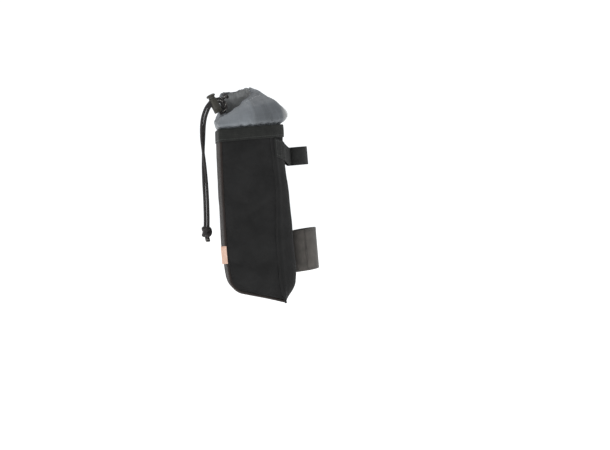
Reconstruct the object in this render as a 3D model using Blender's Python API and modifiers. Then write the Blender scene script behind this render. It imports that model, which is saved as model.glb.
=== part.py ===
"""Stem bag: a tall cloth pouch with a gathered drawcord collar, strapped to an upright stem.

The bag's own frame leans back by LEAN with the stem: X runs along the bag towards the stem,
Y across it and Z up along the stem. The origin is on the stem's axis, level with the upper strap.
The free drawcord hangs plumb, so it is placed in the upright frame instead.
"""

import math

import bmesh
import bpy
from mathutils import Matrix, Vector

MM = 0.001

# Driving dimensions of the pouch
LEAN = math.radians(5.0)
BAG_HEIGHT = 212.0 * MM
BAG_WIDTH = 84.0 * MM
FRONT_REACH = 96.0 * MM
SEAM_REACH = 29.5 * MM
BACK_REACH = 12.5 * MM
RIM_RISE = 39.0 * MM
CORNER_RADIUS = 15.0 * MM
BOTTOM_CLIMB = 21.0 * MM
CORNER_FOLD = 3.0 * MM
FOLD_TIGHTNESS = 16
FOLD_ROUNDNESS = 0.25
PANEL_SWELL = 2.4 * MM
SWELL_FULLNESS = 0.7
FABRIC = 1.5 * MM
GAP = 0.3 * MM
MERGE = 0.01 * MM

# Share of BAG_HEIGHT down from the rim where the bag is measured for its straight front line
FRONT_LINE_DOWN = 0.8
# Share of half the width over which each lobe of the back rises from its seam
LOBE_RISE = 0.42

# Hem round the rim
HEM_HEIGHT = 14.0 * MM
HEM_THICKNESS = 1.1 * MM

# Gathered collar
COLLAR_HEIGHT = 49.0 * MM
COLLAR_THICKNESS = 1.0 * MM
COLLAR_TUCK = 10.0 * MM
MOUTH_LENGTH = 34.0 * MM
MOUTH_WIDTH = 23.0 * MM
MOUTH_REACH = 63.0 * MM
PLEATS = 11
PLEAT_DEPTH = 1.5 * MM

# Stem and straps
STEM_DIAMETER = 28.6 * MM
STEM_CLEARANCE = 0.3 * MM
UPPER_STRAP_WIDTH = 22.0 * MM
UPPER_STRAP_DROP = 13.0 * MM
WEBBING = 1.6 * MM
LOWER_STRAP_WIDTH = 50.0 * MM
LOWER_STRAP_DROP = 113.5 * MM
LOWER_STRAP_SLOPE = math.radians(5.0)
FLAP_START = -80.0
FLAP_END = 100.0
STRAP_LAYER = 2.1 * MM
# Where the upper strap lies on a back lobe, as shares of half the width, and then round the stem
# as directions in degrees from straight behind it
UPPER_STRAP_SHARES = (0.965, 0.88, 0.79, 0.70, 0.60)
UPPER_STRAP_TURNS = (118, 100, 80, 60, 40, 20)
SHARE_STEP = 0.01

# Label in the front seam
LABEL_HEIGHT = 21.0 * MM
LABEL_LENGTH = 8.5 * MM
LABEL_THICKNESS = 1.2 * MM
LABEL_DROP = 148.0 * MM

# Drawcord and its lock
CORD_DIAMETER = 3.2 * MM
CORD_PITCH = 3.7 * MM
LOCK_TILT = math.radians(27.0)
LOCK_TURN = math.radians(25.0)
LOCK_TOP = Vector((-102.2, -9.5, 73.2)) * MM
BARREL_DIAMETER = 10.6 * MM
BARREL_LENGTH = 17.6 * MM
BARREL_FLOOR = 2.4 * MM
BARREL_CROWN = 0.9 * MM
BUTTON_DIAMETER = 11.4 * MM
BUTTON_THICKNESS = 1.8 * MM
BUTTON_TRAVEL = 2.5 * MM
PLUNGER_DIAMETER = 7.6 * MM
PLUNGER_FOOT = 2.0 * MM
SLOT_CLEARANCE = 0.3 * MM
KNOT_LENGTH = 13.0 * MM
KNOT_WIDTH = 12.6 * MM
TAIL_LENGTH = 6.0 * MM
TAIL_SPLAY = 0.25

# Each row: how far down from the rim, as a share of BAG_HEIGHT, and the reach of the front
# panel (share of FRONT_REACH), the side seam (of SEAM_REACH) and the back's crown (of BACK_REACH)
SIDE_ROWS = (
    # down, front, seam, crown
    (0.00, 0.942, 1.00, 1.12),
    (0.10, 0.956, 0.99, 1.15),
    (0.25, 0.972, 0.95, 1.12),
    (0.40, 0.986, 0.96, 1.00),
    (0.58, 0.997, 1.08, 0.98),
    (0.70, 1.000, 1.10, 1.00),
    (0.80, 0.990, 1.11, 0.95),
    (0.86, 0.978, 1.11, 1.02),
    (0.92, 0.962, 1.08, 1.32),
    (1.00, 0.940, 0.96, 2.26),
)

# Shallow dents of the side panels: place across and down the panel, depth as a share of
# PANEL_SWELL, and spread across and down as shares of the panel
DENTS = (
    # across, down, depth, spread_across, spread_down
    (0.80, 0.22, 0.85, 0.10, 0.30),
    (0.30, 0.55, 0.35, 0.14, 0.20),
    (0.62, 0.78, 0.40, 0.12, 0.16),
)

# The collar by direction, in degrees from the stem side and round by the far side: how far it
# swells past the rim and at what rise, how far in its shoulder lies between swell and mouth and
# at what rise, and the rise of the mouth's edge. Lengths and rises are shares of COLLAR_HEIGHT.
COLLAR_GORES = (
    # angle, swell, swell_rise, shoulder_in, shoulder_rise, mouth_rise
    (0, 0.250, 0.27, 0.30, 0.58, 0.98),
    (45, 0.070, 0.24, 0.34, 0.55, 0.98),
    (90, 0.080, 0.20, 0.45, 0.52, 0.95),
    (135, 0.035, 0.22, 0.40, 0.42, 0.88),
    (172, 0.045, 0.22, 0.50, 0.36, 0.80),
    (205, 0.045, 0.21, 0.45, 0.31, 0.41),
    (235, 0.040, 0.20, 0.45, 0.30, 0.41),
    (270, 0.080, 0.20, 0.45, 0.42, 0.62),
    (315, 0.070, 0.24, 0.34, 0.50, 0.82),
    (360, 0.250, 0.27, 0.30, 0.58, 0.98),
)

# Where each strand leaves the collar's edge, in the upright frame and in mm: upper, then lower
STRAND_STARTS = ((-86.3, 0.7, 70.5), (-86.0, -0.3, 66.9))

# Middle of the pair of strands from the lock to the knot, in the upright frame and in mm, with
# the pair's turn in degrees: at 0 the strands lie side by side along X, at 90 along Y
HANGING_ROUTE = (
    # x, y, z, turn
    (-106.6, -12.0, 57.0, 0),
    (-110.0, -13.6, 47.4, 5),
    (-111.5, -14.0, 36.8, 15),
    (-111.8, -13.8, 22.4, 40),
    (-111.3, -13.4, 8.0, 80),
    (-110.2, -13.0, -11.3, 125),
    (-109.0, -13.0, -30.5, 160),
    (-107.9, -13.0, -49.8, 180),
    (-107.3, -13.0, -69.0, 180),
    (-107.2, -13.0, -78.0, 180),
    (-107.3, -13.0, -83.2, 180),
)
KNOT_CENTRE = Vector((-107.3, -13.0, -90.3)) * MM

SHARES_ACROSS = (-1.0, -0.985, -0.95, -0.88, -0.62, -0.22, 0.22, 0.62, 0.88, 0.95, 0.985, 1.0)
SHARES_BACK = (-1.0, -0.93, -0.84, -0.72, -0.58, -0.43, -0.31, -0.24, -0.12,
               0.0, 0.12, 0.24, 0.31, 0.43, 0.58, 0.72, 0.84, 0.93, 1.0)


def clear_scene():
    for old in list(bpy.data.objects):
        bpy.data.objects.remove(old, do_unlink=True)


def new_collection(name):
    collection = bpy.data.collections.new(name)
    bpy.context.scene.collection.children.link(collection)
    return collection


def material(name, colour, roughness, metallic=0.0):
    made = bpy.data.materials.new(name)
    made.use_nodes = True
    shader = made.node_tree.nodes["Principled BSDF"]
    shader.inputs["Base Color"].default_value = (*colour, 1.0)
    shader.inputs["Roughness"].default_value = roughness
    shader.inputs["Metallic"].default_value = metallic
    return made


def blend(low, high, share):
    return low + (high - low) * share


def table_value(rows, column, place):
    """The value of a column at a place along the table's first column, eased between rows."""
    for before, after in zip(rows, rows[1:]):
        if place <= after[0]:
            share = max(0.0, (place - before[0]) / (after[0] - before[0]))
            return blend(before[column], after[column], share)
    return rows[-1][column]


def smooth_point(points, share):
    """A point of the Catmull-Rom curve through the points, at a share of their number."""
    place = min(max(share, 0.0), 1.0) * (len(points) - 1)
    index = min(int(place), len(points) - 2)
    local = place - index
    ends = [points[min(max(index + step, 0), len(points) - 1)] for step in (-1, 0, 1, 2)]
    before, start, end, after = ends
    return (
        start
        + (end - before) * (local / 2)
        + (before * 2 - start * 5 + end * 4 - after) * (local**2 / 2)
        + (start * 3 - before - end * 3 + after) * (local**3 / 2)
    )


def height_at(down):
    return RIM_RISE - down * BAG_HEIGHT


def share_down(height):
    return min(max((RIM_RISE - height) / BAG_HEIGHT, 0.0), 1.0)


def front_reach(height):
    return -FRONT_REACH * table_value(SIDE_ROWS, 1, share_down(height))


def seam_reach(height):
    return -SEAM_REACH * table_value(SIDE_ROWS, 2, share_down(height))


def crown_reach(height):
    return -BACK_REACH * table_value(SIDE_ROWS, 3, share_down(height))


def groove_radius():
    return STEM_DIAMETER / 2 + STEM_CLEARANCE + STRAP_LAYER + GAP


def back_reach(height, across):
    """How far back the outer surface lies at this height and share of half the width."""
    rise = min(1.0, (1.0 - abs(across)) / LOBE_RISE)
    crown = blend(seam_reach(height), crown_reach(height), math.sin(rise * math.pi / 2))
    from_axis = abs(across) * BAG_WIDTH / 2
    if from_axis >= groove_radius():
        return crown
    return min(crown, -math.sqrt(groove_radius() ** 2 - from_axis**2))


def bottom_slope():
    return BOTTOM_CLIMB / (FRONT_REACH + seam_reach(height_at(1.0)))


def bottom_line(along):
    """Height of the bag's bottom at a place along X: it climbs from the back seam to the front."""
    tip = height_at(1.0)
    return tip + bottom_slope() * (seam_reach(tip) - along)


def bottom_edge(distance, front, inset):
    """The bottom's height at a distance behind the front line, with the round corner."""
    radius = CORNER_RADIUS - inset
    height = bottom_line(front + distance) + inset * math.hypot(1.0, bottom_slope())
    if distance < radius:
        height += radius - math.sqrt(radius**2 - (radius - distance) ** 2)
    return height


def front_fold(across):
    """How far the front strip folds back where it turns the corner to the side."""
    return CORNER_FOLD * (1.0 - (1.0 - abs(across) ** FOLD_TIGHTNESS) ** FOLD_ROUNDNESS)


def sheet(name, columns, rows, place, wrap=False):
    """An object with a grid of columns by rows, each corner put where place(column, row) says."""
    mesh = bmesh.new()
    bmesh.ops.create_grid(mesh, x_segments=columns, y_segments=rows, size=1.0)
    for vertex in mesh.verts:
        column = round((vertex.co.x + 1.0) / 2.0 * columns)
        row = round((vertex.co.y + 1.0) / 2.0 * rows)
        vertex.co = place(column % columns if wrap else column, row)
    if wrap:
        bmesh.ops.remove_doubles(mesh, verts=mesh.verts, dist=MERGE)
    return to_object(name, mesh)


def to_object(name, mesh):
    data = bpy.data.meshes.new(name)
    mesh.to_mesh(data)
    mesh.free()
    data.shade_smooth()
    data.set_sharp_from_angle(angle=math.radians(50.0))
    return bpy.data.objects.new(name, data)


def thicken(piece, thickness, along):
    """Gives a sheet its thickness: along is 1 for the side its normals point to, -1 for the other."""
    shell = piece.modifiers.new("Thickness", "SOLIDIFY")
    shell.thickness = thickness
    shell.offset = along
    shell.use_even_offset = True
    shell.use_quality_normals = True


def add(piece, collection, parent, look):
    piece.data.materials.append(look)
    collection.objects.link(piece)
    piece.parent = parent
    return piece


def panel_dent(across, down):
    total = 0.0
    for place, drop, depth, wide, tall in DENTS:
        away = ((across - place) / wide) ** 2 + ((down - drop) / tall) ** 2
        total += depth * math.exp(-away)
    return total


def side_panel(name, side):
    """A flat side of the pouch, swelled a little. side is -1 near the viewer, 1 on the far side."""
    columns = 10
    rows = 16
    inset = CORNER_FOLD + 2 * GAP
    top = RIM_RISE - GAP

    def place(column, row):
        across = column / columns
        down = row / rows
        front = front_reach(height_at(FRONT_LINE_DOWN)) + inset
        width = seam_reach(height_at(FRONT_LINE_DOWN)) - FABRIC - GAP - front
        low = bottom_edge(across * width, front, inset)
        height = blend(top, low, down)
        start = front_reach(height) + inset
        end = seam_reach(height) - FABRIC - GAP
        under_hem = RIM_RISE - HEM_HEIGHT
        below = max(0.0, (under_hem - height) / (under_hem - low))
        bowed = max(0.0, math.sin(math.pi * across) * math.sin(math.pi * below))
        swell = bowed**SWELL_FULLNESS
        out = PANEL_SWELL * swell * (1.0 - panel_dent(across, down))
        return Vector((blend(start, end, across), side * (BAG_WIDTH / 2 + out), height))

    piece = sheet(name, columns, rows, place)
    thicken(piece, FABRIC, -side)
    return piece


def gusset_path():
    """The middle line of the strip that runs down the front, round the corner and along the bottom."""
    front = front_reach(height_at(FRONT_LINE_DOWN))
    corner_top = bottom_line(front) + CORNER_RADIUS
    path = []
    for step in range(9):
        height = blend(RIM_RISE - GAP, corner_top, step / 8)
        path.append(Vector((front_reach(height), 0.0, height)))
    last = path[-1].x
    for step in range(1, 6):
        turn = math.radians(90.0 * step / 5)
        along = last + CORNER_RADIUS * (1.0 - math.cos(turn))
        rise = CORNER_RADIUS * (1.0 - math.sin(turn))
        path.append(Vector((along, 0.0, bottom_line(along) + rise)))
    corner_end = path[-1].x
    end = seam_reach(height_at(1.0)) - FABRIC - GAP
    for step in range(1, 6):
        along = blend(corner_end, end, step / 5)
        path.append(Vector((along, 0.0, bottom_line(along))))
    return path


def front_gusset():
    """One strip of cloth: the front of the pouch, its round lower corner and its bottom."""
    path = gusset_path()
    columns = len(SHARES_ACROSS) - 1
    rows = len(path) - 1

    def place(column, row):
        across = SHARES_ACROSS[column]
        before = path[max(row - 1, 0)]
        after = path[min(row + 1, rows)]
        along = (after - before).normalized()
        outward = Vector((along.z, 0.0, -along.x))
        point = path[row] - outward * front_fold(across)
        point.x = min(point.x, seam_reach(point.z) - 2 * FABRIC)
        return point + Vector((0.0, across * BAG_WIDTH / 2, 0.0))

    piece = sheet("front_gusset", columns, rows, place)
    thicken(piece, FABRIC, -1)
    return piece


def back_panel():
    """The side towards the stem: two soft lobes with a groove between them where the stem lies."""
    columns = len(SHARES_BACK) - 1
    rows = 17

    def place(column, row):
        across = SHARES_BACK[column]
        height = blend(RIM_RISE - GAP, height_at(1.0), row / rows)
        return Vector((back_reach(height, across), across * BAG_WIDTH / 2, height))

    piece = sheet("back_panel", columns, rows, place)
    thicken(piece, FABRIC, 1)
    return piece


def rim_outline(height, outward):
    """The pouch's outline at this height, seen from above and moved outward, as a closed ring."""
    half = BAG_WIDTH / 2
    front = front_reach(height)
    ring = [Vector((front + front_fold(share), share * half)) for share in SHARES_ACROSS]
    ring += [Vector((blend(front, seam_reach(height), step / 5), half)) for step in range(1, 5)]
    ring += [Vector((back_reach(height, -share), -share * half)) for share in SHARES_BACK]
    ring += [Vector((blend(seam_reach(height), front, step / 5), -half)) for step in range(1, 5)]
    moved = []
    for index, point in enumerate(ring):
        along = ring[(index + 1) % len(ring)] - ring[index - 1]
        normal = Vector((-along.y, along.x)).normalized()
        moved.append(point + normal * outward)
    return moved


def hem_band():
    """Tape folded over the rim: an outer leg down the panels and a lip over their top edges."""
    rings = (
        (rim_outline(RIM_RISE - HEM_HEIGHT, GAP), RIM_RISE - HEM_HEIGHT),
        (rim_outline(RIM_RISE - HEM_HEIGHT / 2, GAP), RIM_RISE - HEM_HEIGHT / 2),
        (rim_outline(RIM_RISE, GAP), RIM_RISE),
        (rim_outline(RIM_RISE, -FABRIC), RIM_RISE),
    )

    def place(column, row):
        ring, height = rings[row]
        return Vector((ring[column].x, ring[column].y, height))

    piece = sheet("hem_band", len(rings[0][0]), len(rings) - 1, place, wrap=True)
    thicken(piece, HEM_THICKNESS, -1)
    return piece


def ring_point(ring, centre, angle):
    """Where a ray from the centre at this angle meets the ring."""
    ray = Vector((math.cos(angle), math.sin(angle)))
    best = None
    for index, start in enumerate(ring):
        end = ring[(index + 1) % len(ring)]
        edge = end - start
        cross = ray.x * edge.y - ray.y * edge.x
        if abs(cross) < 1e-12:
            continue
        offset = start - centre
        distance = (offset.x * edge.y - offset.y * edge.x) / cross
        share = (offset.x * ray.y - offset.y * ray.x) / cross
        if distance > 0.0 and -1e-6 <= share <= 1.0 + 1e-6:
            best = distance if best is None else max(best, distance)
    return centre + ray * best


def collar():
    """Thin cloth sewn inside the rim and gathered by its drawcord to a small sloping mouth."""
    columns = 66
    rows = 11
    centre = Vector((-(FRONT_REACH + BACK_REACH) / 2, 0.0))
    inner = FABRIC + 2 * GAP
    tuck = rim_outline(RIM_RISE - COLLAR_TUCK, -inner)
    rim = rim_outline(RIM_RISE, -inner)
    mouth_centre = Vector((-MOUTH_REACH, 0.0))
    clear_of_hem = RIM_RISE + HEM_THICKNESS + 2 * GAP

    def gore(angle):
        degrees = math.degrees(angle) % 360
        return [table_value(COLLAR_GORES, column, degrees) for column in range(1, 6)]

    def place(column, row):
        angle = 2 * math.pi * column / columns
        outward = Vector((math.cos(angle), math.sin(angle), 0.0))
        if row == 0:
            low = ring_point(tuck, centre, angle)
            return Vector((low.x, low.y, RIM_RISE - COLLAR_TUCK))
        base = ring_point(rim, centre, angle).to_3d()
        base.z = clear_of_hem
        swell, swell_rise, shoulder_in, shoulder_rise, mouth_rise = gore(angle)
        bulge = base + outward * (swell * COLLAR_HEIGHT + inner)
        bulge.z = RIM_RISE + swell_rise * COLLAR_HEIGHT
        reach = Vector((MOUTH_LENGTH / 2 * outward.x, MOUTH_WIDTH / 2 * outward.y, 0.0))
        mouth = mouth_centre.to_3d() + reach
        mouth.z = RIM_RISE + mouth_rise * COLLAR_HEIGHT
        shoulder = bulge.lerp(mouth, shoulder_in)
        shoulder.z = RIM_RISE + shoulder_rise * COLLAR_HEIGHT
        share = (row - 1) / (rows - 1)
        point = smooth_point([base, bulge, shoulder, mouth], share)
        pleat = PLEAT_DEPTH * share**1.5 * math.cos(PLEATS * angle)
        return point + outward * pleat

    piece = sheet("collar", columns, rows, place, wrap=True)
    thicken(piece, COLLAR_THICKNESS, -1)
    return piece


def strip(name, path, width, thickness, closed=False):
    """Webbing on edge: a strip of this width along a path of (x, y, middle height) points."""
    count = len(path)
    columns = count if closed else count - 1

    def place(column, row):
        point = path[column]
        return Vector((point.x, point.y, point.z + (row - 0.5) * width))

    piece = sheet(name, columns, 1, place, wrap=closed)
    thicken(piece, thickness, 1)
    return piece


def upper_strap():
    """Webbing sewn under the hem on both sides, over the back lobes and round the stem."""
    ring = STEM_DIAMETER / 2 + STEM_CLEARANCE
    start = RIM_RISE - HEM_HEIGHT - GAP - UPPER_STRAP_WIDTH / 2
    half_width = BAG_WIDTH / 2
    far = []
    for across in UPPER_STRAP_SHARES:
        inner = across - SHARE_STEP
        ahead = Vector((back_reach(start, inner), inner * half_width))
        here = Vector((back_reach(start, across), across * half_width))
        along = (ahead - here).normalized()
        outward = Vector((-along.y, along.x))
        far.append(here + outward * (2 * GAP))
    for degrees in UPPER_STRAP_TURNS:
        turn = math.radians(degrees)
        far.append(Vector((ring * math.cos(turn), ring * math.sin(turn))))
    near = [Vector((point.x, -point.y)) for point in reversed(far)]
    path = []
    for point in far + [Vector((ring, 0.0))] + near:
        drop = (half_width - abs(point.y)) / (half_width - ring)
        height = start - UPPER_STRAP_DROP * min(1.0, max(0.0, drop))
        path.append(Vector((point.x, point.y, height)))
    return strip("upper_strap", path[::-1], UPPER_STRAP_WIDTH, WEBBING)


def lower_strap_path(radius, start, end, steps):
    slope = math.tan(LOWER_STRAP_SLOPE)
    path = []
    for step in range(steps):
        turn = math.radians(blend(start, end, step / (steps - 1)))
        along = radius * math.cos(turn)
        path.append(Vector((along, radius * math.sin(turn), along * slope - LOWER_STRAP_DROP)))
    return path


def lower_strap_loop():
    """Wide hook-and-loop strap, sewn to the groove of the back and closed round the stem."""
    radius = STEM_DIAMETER / 2 + STEM_CLEARANCE
    path = lower_strap_path(radius, 180.0, 540.0, 29)[:-1]
    return strip("lower_strap_loop", path, LOWER_STRAP_WIDTH, STRAP_LAYER, closed=True)


def lower_strap_flap():
    """The strap's free end, folded back over the loop from the near side round to the far side."""
    radius = STEM_DIAMETER / 2 + STEM_CLEARANCE + STRAP_LAYER + GAP
    path = lower_strap_path(radius, FLAP_START, FLAP_END, 15)
    return strip("lower_strap_flap", path, LOWER_STRAP_WIDTH, STRAP_LAYER)


def side_label():
    """Blank folded tag, sewn into the near front seam and turned over the front strip."""
    height = height_at(LABEL_DROP / BAG_HEIGHT)
    front = front_reach(height)
    mesh = bmesh.new()
    bmesh.ops.create_cube(mesh, size=1.0)
    size = Vector((LABEL_LENGTH, LABEL_THICKNESS, LABEL_HEIGHT))
    bmesh.ops.scale(mesh, vec=size, verts=mesh.verts)
    piece = to_object("side_label", mesh)
    lie = Vector((front + CORNER_FOLD, -BAG_WIDTH / 2, height))
    lie += Vector((-LABEL_LENGTH / 2 + CORNER_FOLD / 4, -LABEL_THICKNESS / 2 - GAP, 0.0))
    piece.location = lie
    return piece


def lock_matrix():
    """The lock's own frame: Z along the barrel to its button, X along the cords' way out."""
    lean = Matrix.Rotation(-LOCK_TILT, 4, "Y")
    turn = Matrix.Rotation(LOCK_TURN, 4, "Z")
    return Matrix.Translation(LOCK_TOP) @ lean @ turn


def lock_heights():
    """Heights in the lock's frame, from the button's top down."""
    button_under = -BUTTON_THICKNESS
    barrel_top = button_under - BUTTON_TRAVEL - GAP
    slot_top = barrel_top - BARREL_CROWN
    slot_bottom = slot_top - CORD_PITCH - CORD_DIAMETER - 2 * SLOT_CLEARANCE
    return button_under, barrel_top, slot_top, slot_bottom


def turned(name, profile, steps):
    """A solid turned round Z from a profile of (radius, height) that starts and ends on the axis."""
    mesh = bmesh.new()
    corners = [mesh.verts.new((radius, 0.0, height)) for radius, height in profile]
    for start, end in zip(corners, corners[1:]):
        mesh.edges.new((start, end))
    piece = to_object(name, mesh)
    turn = piece.modifiers.new("Turn", "SCREW")
    turn.steps = steps
    turn.render_steps = steps
    turn.use_merge_vertices = True
    turn.merge_threshold = MERGE
    turn.use_normal_calculate = True
    return piece


def slot_cutter(name, top, bottom, collection):
    mesh = bmesh.new()
    bmesh.ops.create_cube(mesh, size=1.0)
    wide = CORD_DIAMETER + 2 * SLOT_CLEARANCE
    size = Vector((3 * BARREL_DIAMETER, wide, top - bottom))
    bmesh.ops.scale(mesh, vec=size, verts=mesh.verts)
    bmesh.ops.translate(mesh, vec=(0.0, 0.0, (top + bottom) / 2), verts=mesh.verts)
    cutter = to_object(name, mesh)
    cutter.hide_render = True
    cutter.display_type = "WIRE"
    cutter.matrix_world = lock_matrix()
    collection.objects.link(cutter)
    return cutter


def cut(piece, cutter):
    hole = piece.modifiers.new("Cord slot", "BOOLEAN")
    hole.operation = "DIFFERENCE"
    hole.solver = "EXACT"
    hole.object = cutter


def cord_lock(parts, cutters, plastic):
    """Barrel cord lock: a cup with a cross slot, and a sprung button whose slot lets the cords go."""
    button_under, barrel_top, slot_top, slot_bottom = lock_heights()
    barrel_bottom = barrel_top - BARREL_LENGTH
    bore = PLUNGER_DIAMETER / 2 + GAP
    outer = BARREL_DIAMETER / 2
    edge = outer / 8
    barrel_profile = [
        (0.0, barrel_bottom + BARREL_FLOOR),
        (bore, barrel_bottom + BARREL_FLOOR),
        (bore, barrel_top),
        (outer - edge, barrel_top),
        (outer, barrel_top - edge),
        (outer, barrel_bottom + edge),
        (outer - edge, barrel_bottom),
        (0.0, barrel_bottom),
    ]
    barrel = turned("cord_lock_barrel", barrel_profile, 24)
    add(barrel, parts, None, plastic)
    barrel.matrix_world = lock_matrix()
    cut(barrel, slot_cutter("barrel_slot", slot_top, slot_bottom, cutters))

    plunger = PLUNGER_DIAMETER / 2
    cap = BUTTON_DIAMETER / 2
    rounding = BUTTON_THICKNESS / 3
    foot = slot_bottom - PLUNGER_FOOT
    button_profile = [
        (0.0, 0.0),
        (cap - rounding, 0.0),
        (cap, -rounding),
        (cap, button_under + rounding),
        (cap - rounding, button_under),
        (plunger, button_under),
        (plunger, foot),
        (0.0, foot),
    ]
    button = turned("cord_lock_button", button_profile, 24)
    add(button, parts, None, plastic)
    button.matrix_world = lock_matrix()
    open_top = slot_top + BUTTON_TRAVEL
    cut(button, slot_cutter("button_slot", open_top, slot_bottom, cutters))


def strand_route(side):
    """Points of one strand from the collar, through the lock, down to the knot."""
    lock = lock_matrix()
    slot_top, slot_bottom = lock_heights()[2:]
    level = (slot_top + slot_bottom) / 2 + side * CORD_PITCH / 2
    points = [Vector(STRAND_STARTS[0 if side > 0 else 1]) * MM]
    straight = (8.5, 5.5, 2.5, -0.5, -3.5, -6.5)
    points += [lock @ Vector((along * MM, 0.0, level)) for along in straight]
    middle = [Vector(row[:3]) * MM for row in HANGING_ROUTE]
    for index, row in enumerate(HANGING_ROUTE):
        turn = math.radians(row[3])
        before = middle[index - 1] if index else lock @ Vector((straight[-1] * MM, 0.0, level))
        along = middle[min(index + 1, len(middle) - 1)] - before
        sideways = along.cross(Vector((0.0, 1.0, 0.0))).normalized()
        aside = sideways * math.cos(turn) + Vector((0.0, math.sin(turn), 0.0))
        points.append(middle[index] - aside * (side * CORD_PITCH / 2))
    return points


def tube(name, points, diameter, steps):
    curve = bpy.data.curves.new(name, "CURVE")
    curve.dimensions = "3D"
    curve.bevel_depth = diameter / 2
    curve.bevel_resolution = 2
    curve.use_fill_caps = True
    spline = curve.splines.new("POLY")
    spline.points.add(steps - 1)
    for index, point in enumerate(spline.points):
        point.co = (*smooth_point(points, index / (steps - 1)), 1.0)
    return bpy.data.objects.new(name, curve)


def knot():
    """The shared stopper knot: an egg of two wound strands, drawn as slanting ridges."""
    mesh = bmesh.new()
    bmesh.ops.create_uvsphere(mesh, u_segments=20, v_segments=12, radius=1.0)
    for vertex in mesh.verts:
        angle = math.atan2(vertex.co.y, vertex.co.x)
        ridge = 1.0 + 0.07 * math.sin(2 * angle + 5 * vertex.co.z) * (1.0 - vertex.co.z**2)
        wide = KNOT_WIDTH / 2 * ridge
        vertex.co = Vector((vertex.co.x * wide, vertex.co.y * wide, vertex.co.z * KNOT_LENGTH / 2))
    piece = to_object("cord_knot", mesh)
    piece.location = KNOT_CENTRE
    return piece


def main():
    clear_scene()
    parts = new_collection("stem_bag")
    cutters = new_collection("stem_bag_cutters")
    cutters.hide_render = True

    mount = bpy.data.objects.new("stem_mount", None)
    mount.rotation_euler = (0.0, -LEAN, 0.0)
    parts.objects.link(mount)

    side_cloth = material("side_cloth", (0.0194, 0.0194, 0.0194), 0.85)
    front_cloth = material("front_cloth", (0.045, 0.040, 0.036), 0.85)
    hem_tape = material("hem_tape", (0.0262, 0.027, 0.0262), 0.8)
    collar_cloth = material("collar_cloth", (0.176, 0.191, 0.202), 0.6)
    webbing = material("webbing", (0.022, 0.023, 0.022), 0.8)
    hook_and_loop = material("hook_and_loop", (0.080, 0.076, 0.070), 0.95)
    label_cloth = material("label_cloth", (0.62, 0.28, 0.15), 0.7)
    plastic = material("lock_plastic", (0.035, 0.032, 0.028), 0.45)
    cord_braid = material("cord_braid", (0.060, 0.055, 0.055), 0.8)

    add(side_panel("side_panel_near", -1), parts, mount, side_cloth)
    add(side_panel("side_panel_far", 1), parts, mount, side_cloth)
    add(front_gusset(), parts, mount, front_cloth)
    add(back_panel(), parts, mount, side_cloth)
    add(hem_band(), parts, mount, hem_tape)
    add(collar(), parts, mount, collar_cloth)
    add(upper_strap(), parts, mount, webbing)
    add(lower_strap_loop(), parts, mount, hook_and_loop)
    add(lower_strap_flap(), parts, mount, hook_and_loop)
    add(side_label(), parts, mount, label_cloth)
    cord_lock(parts, cutters, plastic)

    add(tube("cord_strand_upper", strand_route(1), CORD_DIAMETER, 40), parts, None, cord_braid)
    add(tube("cord_strand_lower", strand_route(-1), CORD_DIAMETER, 40), parts, None, cord_braid)
    add(knot(), parts, None, cord_braid)
    below = KNOT_CENTRE - Vector((0.0, 0.0, KNOT_LENGTH / 2 + GAP))
    for name, side in (("cord_tail_upper", 1), ("cord_tail_lower", -1)):
        start = below + Vector((side * CORD_PITCH / 2, 0.0, 0.0))
        end = start + Vector((side * TAIL_SPLAY + TAIL_SPLAY, 0.0, -1.0)) * TAIL_LENGTH
        tail = tube(name, [start, start.lerp(end, 0.5), end], CORD_DIAMETER, 4)
        add(tail, parts, None, cord_braid)


main()
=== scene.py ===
import math

import bmesh
import bpy
from mathutils import Matrix, Vector, kdtree, noise


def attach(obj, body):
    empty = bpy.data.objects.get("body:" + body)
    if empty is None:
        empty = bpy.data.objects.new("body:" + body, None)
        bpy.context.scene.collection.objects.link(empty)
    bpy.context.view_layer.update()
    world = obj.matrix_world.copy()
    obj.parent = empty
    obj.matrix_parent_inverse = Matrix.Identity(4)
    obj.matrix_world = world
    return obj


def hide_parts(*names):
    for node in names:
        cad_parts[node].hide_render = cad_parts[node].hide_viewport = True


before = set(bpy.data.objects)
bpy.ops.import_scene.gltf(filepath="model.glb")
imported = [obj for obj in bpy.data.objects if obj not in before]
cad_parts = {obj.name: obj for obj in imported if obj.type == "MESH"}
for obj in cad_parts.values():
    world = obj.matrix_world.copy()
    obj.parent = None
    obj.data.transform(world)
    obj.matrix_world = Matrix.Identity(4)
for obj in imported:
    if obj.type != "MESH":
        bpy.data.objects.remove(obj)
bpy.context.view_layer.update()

MM = 0.001
scene = bpy.context.scene


# Camera: it stands level with the middle of the pouch and a little round towards its front,
# and frames the bag left of the middle, as the photograph does.
LOOK_AT = Vector((13.05, 0.0, -82.96)) * MM
VIEW_AZIMUTH = math.radians(-6.0)
VIEW_ELEVATION = math.radians(1.7)
VIEW_DISTANCE = 1.8
level = math.cos(VIEW_ELEVATION)
away = Vector((math.sin(VIEW_AZIMUTH) * level, -math.cos(VIEW_AZIMUTH) * level, math.sin(VIEW_ELEVATION)))
lens = bpy.data.cameras.new("camera")
lens.sensor_width = 36.0
lens.lens = 87.07
camera = bpy.data.objects.new("camera", lens)
camera.location = LOOK_AT + away * VIEW_DISTANCE
camera.rotation_euler = (-away).to_track_quat("-Z", "Y").to_euler()
scene.collection.objects.link(camera)
scene.camera = camera


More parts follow.
